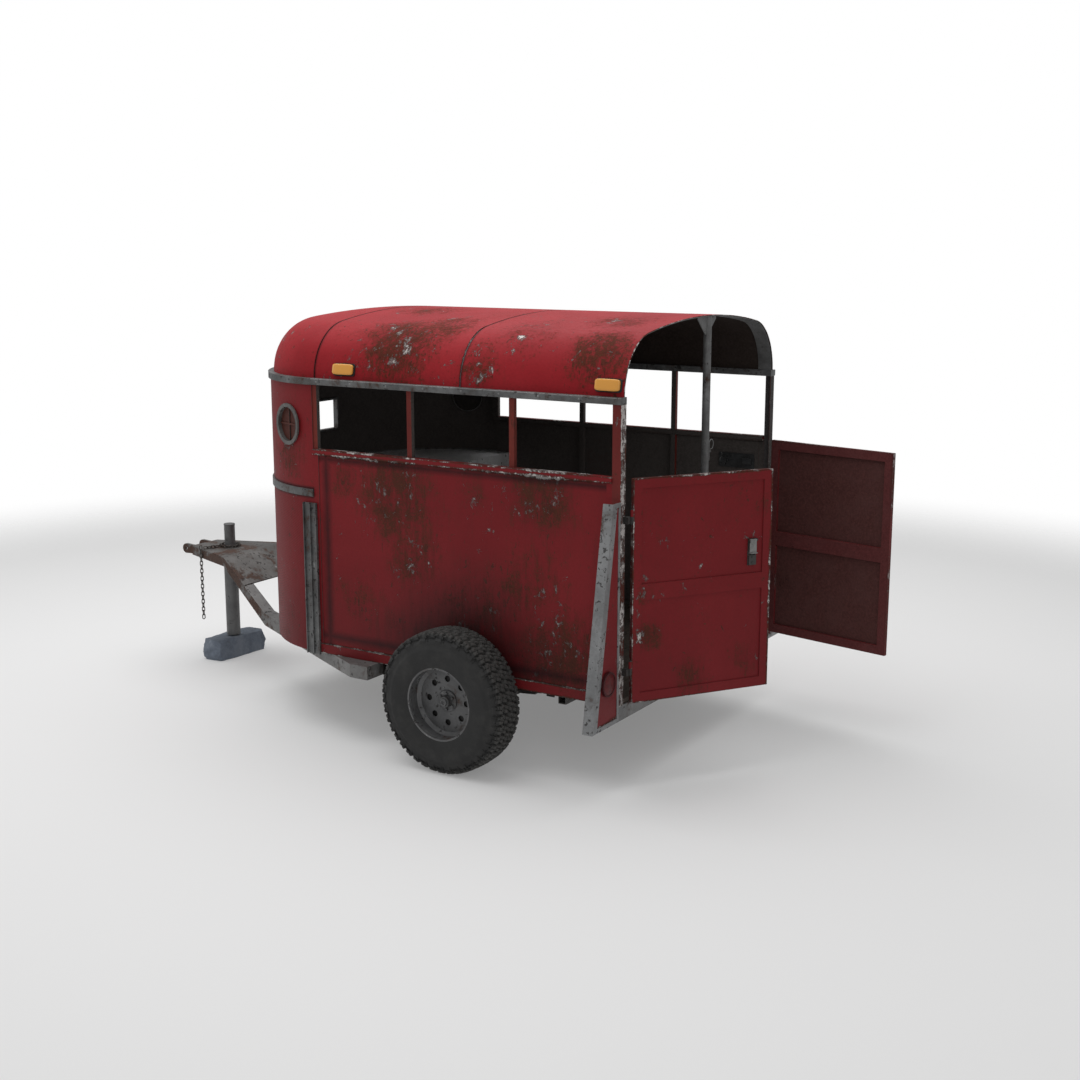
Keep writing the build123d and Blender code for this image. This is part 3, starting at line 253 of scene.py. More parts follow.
@dataclass(frozen=True)
class WornPaint:
    """Old sheet-metal paint: cloudy fading, rust stains, streaks, chips and worn edges.

    edges and seams hold planes as (x, y, z, distance, width): the paint is worn along an edge, and
    darker along a seam, where a point is nearer than width to the plane. patches hold balls as
    (x, y, z, reach, strength) with rust inside, and the balls round the wheels, in the same form,
    hold painted shade where a wheel shades the panel. inside is the colour of faces that look against
    outward, or towards centre where that isn't given, and lined_side keeps it to one side of Y; that
    colour is painted shade for the dark inside of the box, with dust and rust flecks on it.
    """

    name: str
    paint: Colour
    faded: Colour
    rust_amount: float = 0.5
    rust_scale: float = 2.2
    chips: float = 0.5
    streaks: float = 0.5
    grime: float = 0.4
    roughness: float = 0.50
    gloss: float = 0.17
    hatch: float = 0.0
    inside: Colour | None = None
    centre: Colour = (0, 0, 0)
    outward: Colour | None = None
    lined_side: float = 0.0
    patches: tuple[Patch, ...] = ()
    edges: tuple[Plane, ...] = ()
    wheel_shade: tuple[Patch, ...] = ()
    seams: tuple[Plane, ...] = ()

    def make(self) -> bpy.types.Material:
        """Build the material.

        A stain is soft and broken by a coarse noise and by one drawn out along Z. Flecks are a fine
        noise that comes through more where the stain is strong. Chips are small islands of a sharp
        noise, and come thicker along the edges. Glints in the middles of the chips are bare steel
        with a painted highlight: a near-white colour that stands for light caught on the metal.

        Returns:
            The finished material.
        """
        g = Graph(self.name)
        cloud = g.noise(1.3, 3, 0.5, warp=0.6)
        patch = g.noise(self.rust_scale, 7, 0.62, warp=0.35)
        blot = g.noise(9, 9, 0.74, warp=0.5)
        speck = g.noise(75, 7, 0.74)
        grain = g.noise(420, 3, 0.6)
        drawn = g.noise(1, 7, 0.68, g.stretched((40, 40, 6.5)))
        near = self._patches(g, self.patches)
        edge = self._edge(g, speck)
        soft = near * (0.30 + 1.25 * (blot - 0.15)) * (0.45 + 1.1 * drawn)
        wide = ((patch * 0.6 + cloud * 0.4) - 0.5) * 1.9 * self.rust_amount
        stain = (soft * 1.15 + wide + (blot - 0.5) * 0.9 + (drawn - 0.5) * 0.8).rise(0.02, 1.05)
        flecks = speck * 0.62 + blot * 0.24 + drawn * 0.14 + soft * 0.145 + wide * 0.08 + edge * 0.12
        fleck = flecks.rise(0.572, 0.640)
        streak = (drawn * 0.75 + patch * 0.5).rise(0.62, 0.86) * self.streaks
        dots = g.noise(46, 5, 0.62, g.stretched((1, 1, 0.55), (9.1, 4.2, 2.3)), 0.5)
        dot_level = 0.672 - 0.05 * self.rust_amount
        dot = (dots + (patch - 0.5) * 0.35 + near * 0.10 + edge * 0.07).rise(dot_level, dot_level + 0.043)
        isle = g.noise(15, 8, 0.76, g.stretched((1, 1, 0.8), (3.1, 7.7, 1.9)), 0.3)
        flake = isle + (g.noise(3.3, 3, 0.5) - 0.5) * 0.34 + edge * 0.17 + near * 0.075
        chip_level = 0.688 - 0.06 * self.chips
        # Glints: painted highlights in the middles of the chips.
        glint_level = 0.757 - 0.06 * self.chips
        chip = flake.rise(chip_level, chip_level + 0.018)
        glint = (flake + (speck - 0.5) * 0.26).rise(glint_level, glint_level + 0.020)

        colour = g.blend(cloud.rise(0.32, 0.68), self.paint, self.faded)
        colour = g.blend((speck - 0.40).most(0) * 0.5, colour, PAINT_SHADOW)
        rusty = g.node("ShaderNodeValToRGB", {"stops": PAINT_RUST},
                       {0: speck * 0.65 + drawn * 0.2 + grain * 0.2})
        brown = g.blend(blot.rise(0.35, 0.65), (0.040, 0.012, 0.009), (0.075, 0.024, 0.013))
        colour = g.blend((0.68 * stain + 0.45 * streak).least(0.8), colour, brown)
        colour = g.blend((fleck * 0.8).most(dot * 0.8), colour, rusty)
        colour = g.blend(edge * 0.7, colour, rusty)
        bare = g.blend(speck.rise(0.35, 0.65), (0.070, 0.060, 0.056), (0.20, 0.185, 0.18))
        colour = g.blend(chip * 0.8, colour, bare)
        # Painted highlight: glints turn near-white, partly bare steel and partly painted light.
        colour = g.blend(glint * 0.9, colour, STEEL_AND_PAINTED_GLINT)
        low = g.z.rise(1.0, 0.46) * self.grime
        colour = g.blend((low * (0.15 + 1.0 * patch)).least(0.85), colour, ROAD_DIRT)
        # Painted shade: a dark patch round each wheel, broken up by noise.
        if self.wheel_shade:
            wheel_shading = self._patches(g, self.wheel_shade) * (0.55 + 0.9 * drawn * patch + 0.3 * blot)
            colour = g.blend(wheel_shading.least(0.9), colour, WHEEL_SHADE)
        # Darker bands along the seams.
        if self.seams:
            colour = g.blend(self._seams(g) * 0.75, colour, SEAM_DARK)
        if self.hatch:
            ruled = ((g.x * 0.9 + g.y * 0.9 - g.z) * 430 + patch * 2).sine().rise(0.1, 1)
            below = g.z.rise(1.33, 1.31) * cloud.rise(0.25, 0.6)
            colour = g.blend(ruled * below * self.hatch, colour, (0.040, 0.007, 0.009))
        rust = stain.most(fleck)
        rough = self.roughness + 0.28 * rust.most(edge) + (grain - 0.5) * 0.12 + (speck - 0.5) * 0.22
        # Painted shade: faces turned into the box get a dark colour for its shaded inside, with real dust and
        # rust flecks on it.
        if self.inside:
            painted_inside_shade = g.blend(speck.rise(0.35, 0.75), self.inside, tuple(1.7 * part for part in self.inside))
            dusty = (cloud * 0.4 + blot * 0.6).rise(0.40, 0.66)
            painted_inside_shade = g.blend(dusty * 0.5, painted_inside_shade, tuple(1.35 * part + 0.014 for part in self.inside))
            painted_inside_shade = g.blend(fleck * 0.35, painted_inside_shade, (0.050, 0.022, 0.014))
            inner = self._inner(g)
            colour = g.blend(inner, colour, painted_inside_shade)
            rough = rough.most(inner * 0.8)
        height = speck * 0.5 + grain * 0.2 + rust * speck - chip * 1.2 + cloud * 2.5 + dot * 0.3
        g.put(base_color=colour, roughness=rough, specular_ior_level=self.gloss, metallic=glint * 0.5,
              normal=g.relief(height, 0.0012, 0.8))
        return g.material

    @staticmethod
    def _patches(g: Graph, patches: tuple[Patch, ...]) -> Shade | float:
        """The strongest of some patches.

        Args:
            g: the material's graph.
            patches: balls as (x, y, z, reach, strength).

        Returns:
            The strength at a patch's middle, falling to 0 at its reach, and 0 with no patches.
        """
        total = 0.0
        for x, y, z, reach, strength in patches:
            away = g.node("ShaderNodeVectorMath", {"operation": "DISTANCE"}, {0: g.place, 1: (x, y, z)},
                          "Value")
            bloom = away.rise(reach, reach * 0.15) * strength
            total = bloom.most(total)
        return total

    def _seams(self, g: Graph) -> Shade:
        """Darker bands beside joints.

        Args:
            g: the material's graph.

        Returns:
            1 on a seam's plane and 0 at its width away, thinned by noise.
        """
        total = 0.0
        broken = 0.55 + 0.9 * g.noise(14, 5, 0.65)
        for x, y, z, distance, width in self.seams:
            line = (1 - abs(g.along((x, y, z)) - distance) / width).most(0) * broken
            total = line.most(total)
        return total.least(1)

    def _inner(self, g: Graph) -> Shade:
        """Tell inner faces from outer ones.

        Args:
            g: the material's graph.

        Returns:
            1 on faces that look against the outward direction, or towards the centre.
        """
        away = self.outward
        if away is None:
            away = g.node("ShaderNodeVectorMath", {"operation": "SUBTRACT"}, {0: g.place, 1: self.centre})
        inner = g.facing(away).rise(0.06, -0.06)
        return inner * (g.y * self.lined_side).rise(0, 0.1) if self.lined_side else inner

    def _edge(self, g: Graph, speck: Shade) -> Shade:
        """Wear along the edge planes.

        Args:
            g: the material's graph.
            speck: the fine noise that frays the wear.

        Returns:
            1 where the paint is gone, broken up by noise into worn and whole stretches.
        """
        stretches = (g.noise(2.1, 2) - 0.53) * 2.0
        ragged = (g.noise(6, 6, 0.7, warp=0.4) - 0.52) * 1.5 + (speck - 0.5) * 0.9 + stretches
        total = g.noise(5, 6, 0.6).rise(0.74, 0.95) * 0.5
        for x, y, z, distance, width in self.edges:
            close = 1 - abs(g.along((x, y, z)) - distance) / width
            total = total.most((close + ragged * 0.9).rise(0.15, 0.85))
        return total


@dataclass(frozen=True)
class Zinc:
    """Weathered bare or zinc-coated steel: cloudy grey, dark pits, bright rubs that are partly painted
    highlights, and brown rust.
    """

    name: str
    pale: Colour = (0.185, 0.187, 0.187)
    dark: Colour = (0.075, 0.077, 0.078)
    rust_amount: float = 0.4
    pits: float = 0.5
    bright: float = 0.5
    roughness: float = 0.48
    brown_sides: float = 0.0

    def make(self) -> bpy.types.Material:
        """Build the material.

        Clouds set the grey, pits and rust are sharp islands of finer noises, and rubs are thin bright
        islands, partly rubbed metal and partly painted highlights. brown_sides rusts the upright faces
        ahead of the body.

        Returns:
            The finished material.
        """
        g = Graph(self.name)
        cloud = g.noise(4.5, 5, 0.6, warp=0.5)
        blot = g.noise(17, 6, 0.62, warp=0.4)
        speck = g.noise(85, 7, 0.7)
        grain = g.noise(320, 3, 0.6)
        pit_level = 0.66 - 0.07 * self.pits
        pit = (g.noise(42, 6, 0.66, warp=0.3) + (blot - 0.5) * 0.5).rise(pit_level, pit_level + 0.04)
        seed = g.noise(8, 8, 0.68, warp=0.4) + (speck - 0.5) * 0.22 + (cloud - 0.5) * 0.25
        if self.brown_sides:
            upright = abs(g.facing((0, 0, 1))).rise(0.7, 0.2)
            seed = seed + upright * g.x.rise(-0.95, -1.35) * self.brown_sides
        rust_level = 0.70 - 0.17 * self.rust_amount
        rust = seed.rise(rust_level, rust_level + 0.09)
        halo = seed.rise(rust_level - 0.10, rust_level + 0.06)
        # Rubs: thin pale islands, partly worn metal and partly painted highlights.
        rub_highlight_level = 0.66 - 0.06 * self.bright
        rub_and_highlight = (g.noise(11, 9, 0.78, g.stretched((1, 1, 0.4), (5, 2, 8))) + (blot - 0.5) * 0.2).rise(
            rub_highlight_level, rub_highlight_level + 0.06)
        tone = (cloud * 0.75 + blot * 0.35 + (speck - 0.5) * 0.25).rise(0.36, 0.74)
        colour = g.blend(tone, self.dark, self.pale)
        # Painted highlight mixed with real rubbing: the rubs turn pale grey.
        colour = g.blend(rub_and_highlight * 0.65, colour, ZINC_RUB_AND_HIGHLIGHT)
        colour = g.blend(halo * 0.5, colour, ZINC_STAIN)
        rusty = g.node("ShaderNodeValToRGB", {"stops": ZINC_RUST}, {0: speck * 0.7 + grain * 0.3})
        colour = g.blend(pit * 0.85, colour, ZINC_PIT)
        colour = g.blend(rust * 0.9, colour, rusty)
        rough = self.roughness + 0.30 * rust + 0.15 * pit + (grain - 0.5) * 0.12 + (blot - 0.5) * 0.3
        height = speck * 0.4 + grain * 0.2 - pit * 0.7 + rust * speck + blot
        g.put(base_color=colour, roughness=rough, metallic=0.35 - 0.3 * rust.most(pit),
              specular_ior_level=0.4, normal=g.relief(height, 0.0010, 0.7))
        return g.material


@dataclass(frozen=True)
class Rubber:
    """Dry tyre or gasket rubber with dust in its hollows."""

    name: str
    base: Colour = (0.021, 0.021, 0.021)
    dust: Colour = (0.062, 0.060, 0.057)
    dustiness: float = 0.4
    tread: tuple[float, float, float] | None = None

    def make(self) -> bpy.types.Material:
        """Build the material: a dark base with soft dust.

        Returns:
            The finished material.
        """
        g = Graph(self.name)
        cloud = g.noise(9, 6, 0.65)
        grain = g.noise(260, 4, 0.7)
        dusty = (cloud + (grain - 0.5) * 0.3).rise(0.42, 0.78) * self.dustiness
        if self.tread:
            x, z, radius = self.tread
            away = ((g.x - x) * (g.x - x) + (g.z - z) * (g.z - z)) ** 0.5
            dusty = dusty.most(away.rise(radius - 0.021, radius - 0.006) * (0.75 + 0.4 * (cloud - 0.5)))
        g.put(base_color=g.blend(dusty, self.base, self.dust), roughness=0.74 + (grain - 0.5) * 0.2,
              specular_ior_level=0.35, normal=g.relief(grain * 0.5 + cloud, 0.0006, 0.6))
        return g.material


@dataclass(frozen=True)
class Lens:
    """Moulded lamp plastic with ribs, haze and grime."""

    name: str
    base: Colour
    deep: Colour
    ribs: float = 420
    gloss: float = 0.35

    def make(self) -> bpy.types.Material:
        """Build the material: ribs are a sine along X.

        Returns:
            The finished material.
        """
        g = Graph(self.name)
        cloud = g.noise(26, 6, 0.65)
        grain = g.noise(240, 4, 0.6)
        rib = (g.x * self.ribs).sine()
        colour = g.blend((cloud + (grain - 0.5) * 0.4).rise(0.4, 0.7), self.base, self.deep)
        g.put(base_color=colour, roughness=0.34 + 0.25 * cloud, coat_weight=self.gloss,
              coat_roughness=0.2, specular_ior_level=0.25,
              normal=g.relief(rib * 0.5 + grain * 0.3, 0.0007, 0.5))
        return g.material


AMBER = Lens("amber_lens", (0.46, 0.225, 0.050), (0.31, 0.140, 0.028))


@dataclass(frozen=True)
class Slate:
    """Rough blue-grey stone."""

    name: str

    def make(self) -> bpy.types.Material:
        """Build the material: layered noise in blue-grey.

        Returns:
            The finished material.
        """
        g = Graph(self.name)
        cloud = g.noise(5, 5, 0.6, warp=0.8)
        crag = g.noise(28, 9, 0.7, warp=0.4)
        grain = g.noise(190, 5, 0.7)
        colour = g.node("ShaderNodeValToRGB", {"stops": [
            (0.30, (0.060, 0.066, 0.074)), (0.50, (0.125, 0.150, 0.190)), (0.72, (0.240, 0.262, 0.295))]},
            {0: cloud * 0.6 + crag * 0.3 + grain * 0.12})
        g.put(base_color=colour, roughness=0.82 + (grain - 0.5) * 0.2,
              normal=g.relief(crag + grain * 0.3, 0.006, 0.8))
        return g.material


@dataclass(frozen=True)
class Timber:
    """Worn floor boards running across the trailer."""

    name: str

    def make(self) -> bpy.types.Material:
        """Build the material: grain is noise drawn out along Y.

        Returns:
            The finished material.
        """
        g = Graph(self.name)
        line = g.noise(1, 8, 0.65, g.stretched((60, 3.5, 60)), 0.6)
        cloud = g.noise(3, 5, 0.6)
        colour = g.node("ShaderNodeValToRGB", {"stops": [
            (0.32, (0.020, 0.014, 0.010)), (0.55, (0.058, 0.042, 0.030)), (0.75, (0.115, 0.090, 0.066))]},
            {0: line * 0.75 + cloud * 0.25})
        g.put(base_color=colour, roughness=0.8 + (line - 0.5) * 0.2, normal=g.relief(line, 0.002, 0.7))
        return g.material


# ---------------------------------------------------------------- mesh helpers
def lattice_noise(points: np.ndarray, scale: float, seed: int) -> np.ndarray:
    """Smooth value noise on points.

    Random values sit on the corners of a cubic lattice and are blended with 3t^2 - 2t^3.

    Args:
        points: an (n, 3) array in metres.
        scale: lattice cells to the metre.
        seed: chooses the values.

    Returns:
        n values between -1 and 1.
    """
    table = np.random.default_rng(seed).uniform(-1, 1, (16, 16, 16))
    place = points * scale + 400
    cell = np.floor(place).astype(int)
    part = place - cell
    part = part * part * (3 - 2 * part)
    total = np.zeros(len(points))
    for corner in np.ndindex(2, 2, 2):
        weight = np.prod(np.where(corner, part, 1 - part), axis=1)
        index = (cell + corner) % 16
        total += weight * table[index[:, 0], index[:, 1], index[:, 2]]
    return total


def grid_faces(rows: int, columns: int, wrap_rows: bool, wrap_columns: bool) -> np.ndarray:
    """Quads of a grid whose point (row, column) has index row * columns + column.

    Args:
        rows: points along the grid's first way.
        columns: points along its second way.
        wrap_rows: join the last row to the first.
        wrap_columns: join the last column to the first.

    Returns:
        An (n, 4) array of point numbers.
    """
    row = np.arange(rows if wrap_rows else rows - 1)[:, None]
    column = np.arange(columns if wrap_columns else columns - 1)[None, :]
    next_row = (row + 1) % rows
    next_column = (column + 1) % columns
    quads = np.stack([row * columns + column, row * columns + next_column,
                      next_row * columns + next_column, next_row * columns + column], axis=-1)
    return quads.reshape(-1, 4)


def add_mesh(name: str, points: np.ndarray, faces: list | np.ndarray, smooth: float | None = 35
             ) -> bpy.types.Object:
    """Make a mesh object at the origin.

    Args:
        name: the piece's name.
        points: an (n, 3) array in metres.
        faces: lists of point numbers, outwards by the right hand.
        smooth: the angle in degrees past which an edge stays sharp, or None for flat faces.

    Returns:
        The linked object.
    """
    mesh = bpy.data.meshes.new(name)
    mesh.from_pydata(np.asarray(points, float).tolist(), [], [list(map(int, f)) for f in faces])
    mesh.validate()
    if smooth is not None:
        mesh.shade_smooth()
        mesh.set_sharp_from_angle(angle=math.radians(smooth))
    piece = bpy.data.objects.new(name, mesh)
    bpy.context.scene.collection.objects.link(piece)
    return piece


def smooth_step(value: np.ndarray, low: float, high: float) -> np.ndarray:
    """3t^2 - 2t^3 between two limits."""
    part = np.clip((value - low) / (high - low), 0, 1)
    return part * part * (3 - 2 * part)


class Side(Enum):
    """The two sides of the trailer; the value is the sign of Y."""

    LEFT = -1
    RIGHT = 1


def lathe(profile: np.ndarray, count: int, centre: Vector, side: int, sides_of: np.ndarray | None = None
          ) -> tuple[np.ndarray, np.ndarray]:
    """Turn a closed profile about the wheel axis.

    A ring point is centre + (r f cos a, side * out, r f sin a), where f is 1 or, on rows that
    sides_of gives a number n of flats, cos(pi / n) / cos(a mod 2 pi / n - pi / n), a polygon.

    Args:
        profile: an (n, 2) array of (out, radius), outwards along the axle.
        count: points round the axis.
        centre: the wheel's middle.
        side: the sign of Y that is outwards.
        sides_of: the number of flats of each row, 0 for round.

    Returns:
        The points and the faces.
    """
    angle = (np.arange(count) * TAU / count)[:, None]
    flats = np.zeros(len(profile)) if sides_of is None else np.asarray(sides_of, float)
    n = np.maximum(flats, 3)[None, :]
    polygon = np.cos(np.pi / n) / np.cos(np.mod(angle, TAU / n) - np.pi / n)
    factor = np.where(flats[None, :] > 0, polygon, 1.0)
    radius = profile[None, :, 1] * factor
    points = np.stack([radius * np.cos(angle) + centre.x,
                       np.broadcast_to(side * profile[None, :, 0] + centre.y, radius.shape),
                       radius * np.sin(angle) + centre.z], axis=-1).reshape(-1, 3)
    faces = grid_faces(count, len(profile), True, True)
    return points, faces if side > 0 else faces[:, ::-1]


# ---------------------------------------------------------------- wheels
@dataclass
class Tyre:
    """All-terrain tyre: five rows of staggered blocks over a rounded carcass."""

    side: Side
    finish: bpy.types.Material
    pitches: int = 42
    steps: int = 18
    tread_depth: float = 0.0145
    tread_half: float = 0.092
    groove_cut: float = 0.0085
    long_reach: float = 0.050
    short_reach: float = 0.030

    def __post_init__(self) -> None:
        """Take the size and place from the CAD tyre."""
        low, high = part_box(self.node)
        self.radius = (high.z - low.z) / 2
        self.half_width = (high.y - low.y) / 2
        self.centre = (low + high) / 2

    @property
    def node(self) -> str:
        """The CAD node that the tyre stands for."""
        return f"tyre_{self.side.name.lower()}"

    def _section(self) -> tuple[np.ndarray, np.ndarray]:
        """Closed cross-section: (across, radius) from the inner bead over the tread and back inside.

        The crown falls off as the square of the distance from the middle, the shoulder is a quarter
        round, and the sidewall is half a sine wide.
        """
        r, w, tread = self.radius, self.half_width, self.tread_half
        flank = np.linspace(0, 1, 17)
        bead_r = r * 0.505
        shoulder_r = r - 0.020
        flank_r = bead_r + (shoulder_r - bead_r) * flank
        flank_y = w * (0.855 + 0.145 * np.sin(np.pi * np.clip(flank * 0.92 + 0.06, 0, 1)) ** 0.75)
        flank_y = flank_y - 0.012 * smooth_step(flank, 0.8, 1)
        ridge = 0.0016 * (np.cos(np.clip((flank - 0.14) / 0.045, -1, 1) * np.pi) + 1) / 2
        flank_y = np.minimum(flank_y + ridge, w)
        across = np.linspace(-1, 1, 39)
        crown_y = across * (tread + 0.006)
        crown_r = r - 0.0065 * across ** 2 - 0.006 * smooth_step(np.abs(across), 0.86, 1)
        liner_y = np.array([0.086, 0.094, 0.086, 0.045, 0, -0.045, -0.086, -0.094, -0.086])
        liner_r = bead_r + np.array([0.004, 0.08, 0.145, 0.158, 0.160, 0.158, 0.145, 0.08, 0.004])
        y = np.concatenate([-flank_y, crown_y, flank_y[::-1], liner_y])
        radius = np.concatenate([flank_r, crown_r, flank_r[::-1], liner_r])
        return y, radius

    def _blocks(self, turn: np.ndarray, across: np.ndarray) -> np.ndarray:
        """Height of the tread, 0 in a groove and 1 on a block.

        turn counts pitches round the tyre. Each row of blocks is shifted by a part of a pitch, the
        cross grooves are slanted, the lengthwise grooves zigzag, and the shoulder blocks take turns
        at being long and short.
        """
        place = across / self.tread_half
        row = np.round(np.clip(place, -1, 1) * 2)
        zigzag = 0.045 * np.where((turn % 1) < 0.5, 1, -1)
        lane = np.abs(((place + zigzag) * 2.5) % 1 - 0.5)
        lengthwise = smooth_step(0.5 - np.abs(((place + zigzag) * 2.5 + 0.5) % 1 - 0.5), 0.045, 0.14)
        shift = np.select([row == 0, np.abs(row) == 1], [0.0, 0.42], 0.18) + 0.5 * (place > 0)
        slant = np.where(np.abs(row) < 1.5, 0.80, 0.20)
        phase = (turn + shift + slant * place) % 1
        crossing = smooth_step(np.minimum(phase, 1 - phase), 0.08, 0.15)
        sipe_phase = np.abs(phase - 0.5)
        sipe = 1 - 0.45 * (sipe_phase < 0.035) * (lane < 0.5)
        return np.minimum(lengthwise, crossing) * sipe

    def build(self) -> bpy.types.Object:
        """Make the tyre.

        A ring point is (r cos a, y, r sin a). The tread's height is taken off the radius where there
        is a groove, and shoulder lugs stand out of the upper sidewall.

        Returns:
            The tyre's object.
        """
        y, radius = self._section()
        count = self.pitches * self.steps
        angle = np.arange(count) * TAU / count
        turn = np.arange(count)[:, None] / self.steps * np.ones_like(y)[None, :]
        across = np.broadcast_to(y, turn.shape)
        outer = radius > self.radius - 0.034
        crown = (np.abs(y) <= self.tread_half + 0.0061) & outer
        height = np.where(crown[None, :], self._blocks(turn, across), 1.0)
        long_lug = (np.floor(turn + 0.18 + 0.5 * (across > 0)) % 2) == 0
        phase = (turn + 0.18 + 0.5 * (across > 0) + 0.15 * np.sign(across)) % 1
        lug = smooth_step(np.minimum(phase, 1 - phase), 0.09, 0.16)
        reach = np.where(long_lug, self.long_reach, self.short_reach)
        on_flank = (~crown) & (radius > self.radius - 0.075) & (np.abs(y) > self.tread_half)
        down = self.radius - radius[None, :]
        proud = lug * smooth_step(reach - down, 0.0, 0.008)
        sink = np.where(crown[None, :], (1 - height) * self.tread_depth, 0)
        r = radius[None, :] - sink
        side_cut = np.where(on_flank[None, :], (1 - proud) * self.groove_cut, 0)
        yy = across - np.sign(across) * side_cut
        points = np.stack([r * np.cos(angle)[:, None] + self.centre.x,
                           yy + self.centre.y,
                           r * np.sin(angle)[:, None] + self.centre.z], axis=-1).reshape(-1, 3)
        faces = grid_faces(count, len(y), True, True)
        piece = add_mesh(f"{self.node}_tread", points, faces, 40)
        piece.data.materials.append(self.finish)
        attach(piece, f"wheel_{self.side.name.lower()}")
        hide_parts(self.node)
        return piece


@dataclass
class Hub:
    """Wheel centre: a low flange, six nuts, a hexagon cap, and the brake drum behind the disc.

    face is how far the rim's disc lies outwards of the wheel's middle.
    """

    side: Side
    steel: bpy.types.Material
    drum_steel: bpy.types.Material
    flange: float = 0.058
    nuts: int = 6
    nut_circle: float = 0.043
    nut_radius: float = 0.0085
    face: float = 0.0203

    def __post_init__(self) -> None:
        """Take the wheel's middle from the CAD tyre."""
        self.hand = self.side.name.lower()
        low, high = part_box(f"tyre_{self.hand}")
        self.centre = (low + high) / 2

    def build(self) -> list[bpy.types.Object]:
        """Make the hub and the drum.

        Returns:
            The two objects.
        """
        return [self._hub(), self._drum()]

    def _finish(self, piece: bpy.types.Object, material: bpy.types.Material) -> bpy.types.Object:
        """Give a piece its material and hang it on the wheel.

        Args:
            piece: the new piece.
            material: what it wears.

        Returns:
            The same piece.
        """
        piece.data.materials.append(material)
        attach(piece, f"wheel_{self.hand}")
        return piece

    def _hub(self) -> bpy.types.Object:
        """Turn the flange and cap as one shell, and put six-sided nuts round it.

        Returns:
            The hub's object.
        """
        out = self.face
        rows = np.array([(out, 0.004, 0), (out, self.flange, 0), (out + 0.006, self.flange, 0),
                         (out + 0.0085, self.flange - 0.003, 0), (out + 0.0085, 0.034, 0),
                         (out + 0.014, 0.031, 0), (out + 0.030, 0.029, 0), (out + 0.034, 0.0275, 0),
                         (out + 0.0345, 0.0225, 6), (out + 0.041, 0.022, 6), (out + 0.0425, 0.0200, 6),
                         (out + 0.0425, 0.011, 0), (out + 0.038, 0.010, 0), (out + 0.038, 0.0008, 0)])
        nut = np.array([(out + 0.002, 0.0006), (out + 0.002, 1.0), (out + 0.0155, 1.0), (out + 0.018, 0.82),
                        (out + 0.018, 0.0006)])
        nut[:, 1] *= self.nut_radius
        shells = [lathe(rows[:, :2], 72, self.centre, self.side.value, rows[:, 2])]
        for number in range(self.nuts):
            turn = TAU * (number + 0.5) / self.nuts
            middle = self.centre + Vector((math.cos(turn), 0, math.sin(turn))) * self.nut_circle
            shells.append(lathe(nut, 12, middle, self.side.value, np.array([0, 6, 6, 6, 0])))
        starts = np.cumsum([0] + [len(points) for points, _ in shells[:-1]])
        piece = add_mesh(f"hub_{self.hand}_turned", np.vstack([points for points, _ in shells]),
                         np.vstack([faces + start for (_, faces), start in zip(shells, starts)]), 30)
        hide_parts(f"hub_{self.hand}")
        return self._finish(piece, self.steel)

    def _drum(self) -> bpy.types.Object:
        """Turn the brake drum, a closed ring with two cooling grooves.

        Returns:
            The drum's object.
        """
        rows = np.array([(0.010, 0.045), (0.010, 0.142), (0.006, 0.150), (-0.010, 0.150), (-0.013, 0.146),
                         (-0.018, 0.150), (-0.030, 0.150), (-0.034, 0.146), (-0.040, 0.150), (-0.058, 0.152),
                         (-0.060, 0.148), (-0.060, 0.045)])
        points, faces = lathe(rows, 64, self.centre, self.side.value)
        piece = add_mesh(f"brake_drum_{self.hand}", points, faces[:, ::-1], 30)
        return self._finish(piece, self.drum_steel)


# ---------------------------------------------------------------- rivets
@dataclass
class Rivets:
    """Dome heads along the drip rails."""

    finish: bpy.types.Material
    radius: float = 0.0065
    height: float = 0.0032
    pitch: float = 0.235
    scatter: float = 0.006
    rows: int = 4
    around: int = 10

    def build(self) -> bpy.types.Object:
        """Make all the heads as one mesh.

        Returns:
            The rivets' object.
        """
        low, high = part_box("drip_rails")
        rng = np.random.default_rng(5)
        head, shape = self._head()
        flipped = [face[::-1] for face in shape]
        points, faces = [], []
        for side in Side:
            along = np.arange(low.x + 0.05, high.x - 0.03, self.pitch)
            along = along + rng.normal(scale=self.scatter, size=len(along))
            place = np.stack([along, np.full(len(along), side.value * high.y),
                              np.full(len(along), (low.z + high.z) / 2)], axis=-1)
            start = sum(map(len, points))
            points.append((head * (1, side.value, 1) + place[:, None]).reshape(-1, 3))
            faces += [[start + number * len(head) + k for k in face] for number in range(len(along))
                      for face in (flipped if side is Side.RIGHT else shape)]
        piece = add_mesh("rail_rivets", np.vstack(points), faces, 50)
        piece.data.materials.append(self.finish)
        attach(piece, "root")
        return piece

    def _head(self) -> tuple[np.ndarray, list[list[int]]]:
        """One dome: its rings shrink as a cosine while they rise as a sine along Y.

        Returns:
            The points, and the faces that point outwards on the left side.
        """
        rise = np.linspace(0, np.pi / 2, self.rows)[:, None]
        turn = np.arange(self.around) * TAU / self.around
        rings = np.stack([np.cos(rise) * np.cos(turn) * self.radius,
                          np.sin(rise) * np.ones(self.around) * self.height,
                          np.cos(rise) * np.sin(turn) * self.radius], axis=-1)[:-1].reshape(-1, 3)
        last, tip = (self.rows - 2) * self.around, (self.rows - 1) * self.around
        faces = grid_faces(self.rows - 1, self.around, False, True).tolist()
        faces += [[tip, last + k, last + (k + 1) % self.around] for k in range(self.around)]
        faces.append(list(range(self.around))[::-1])
        return np.vstack([rings, [(0, self.height, 0)]]), faces


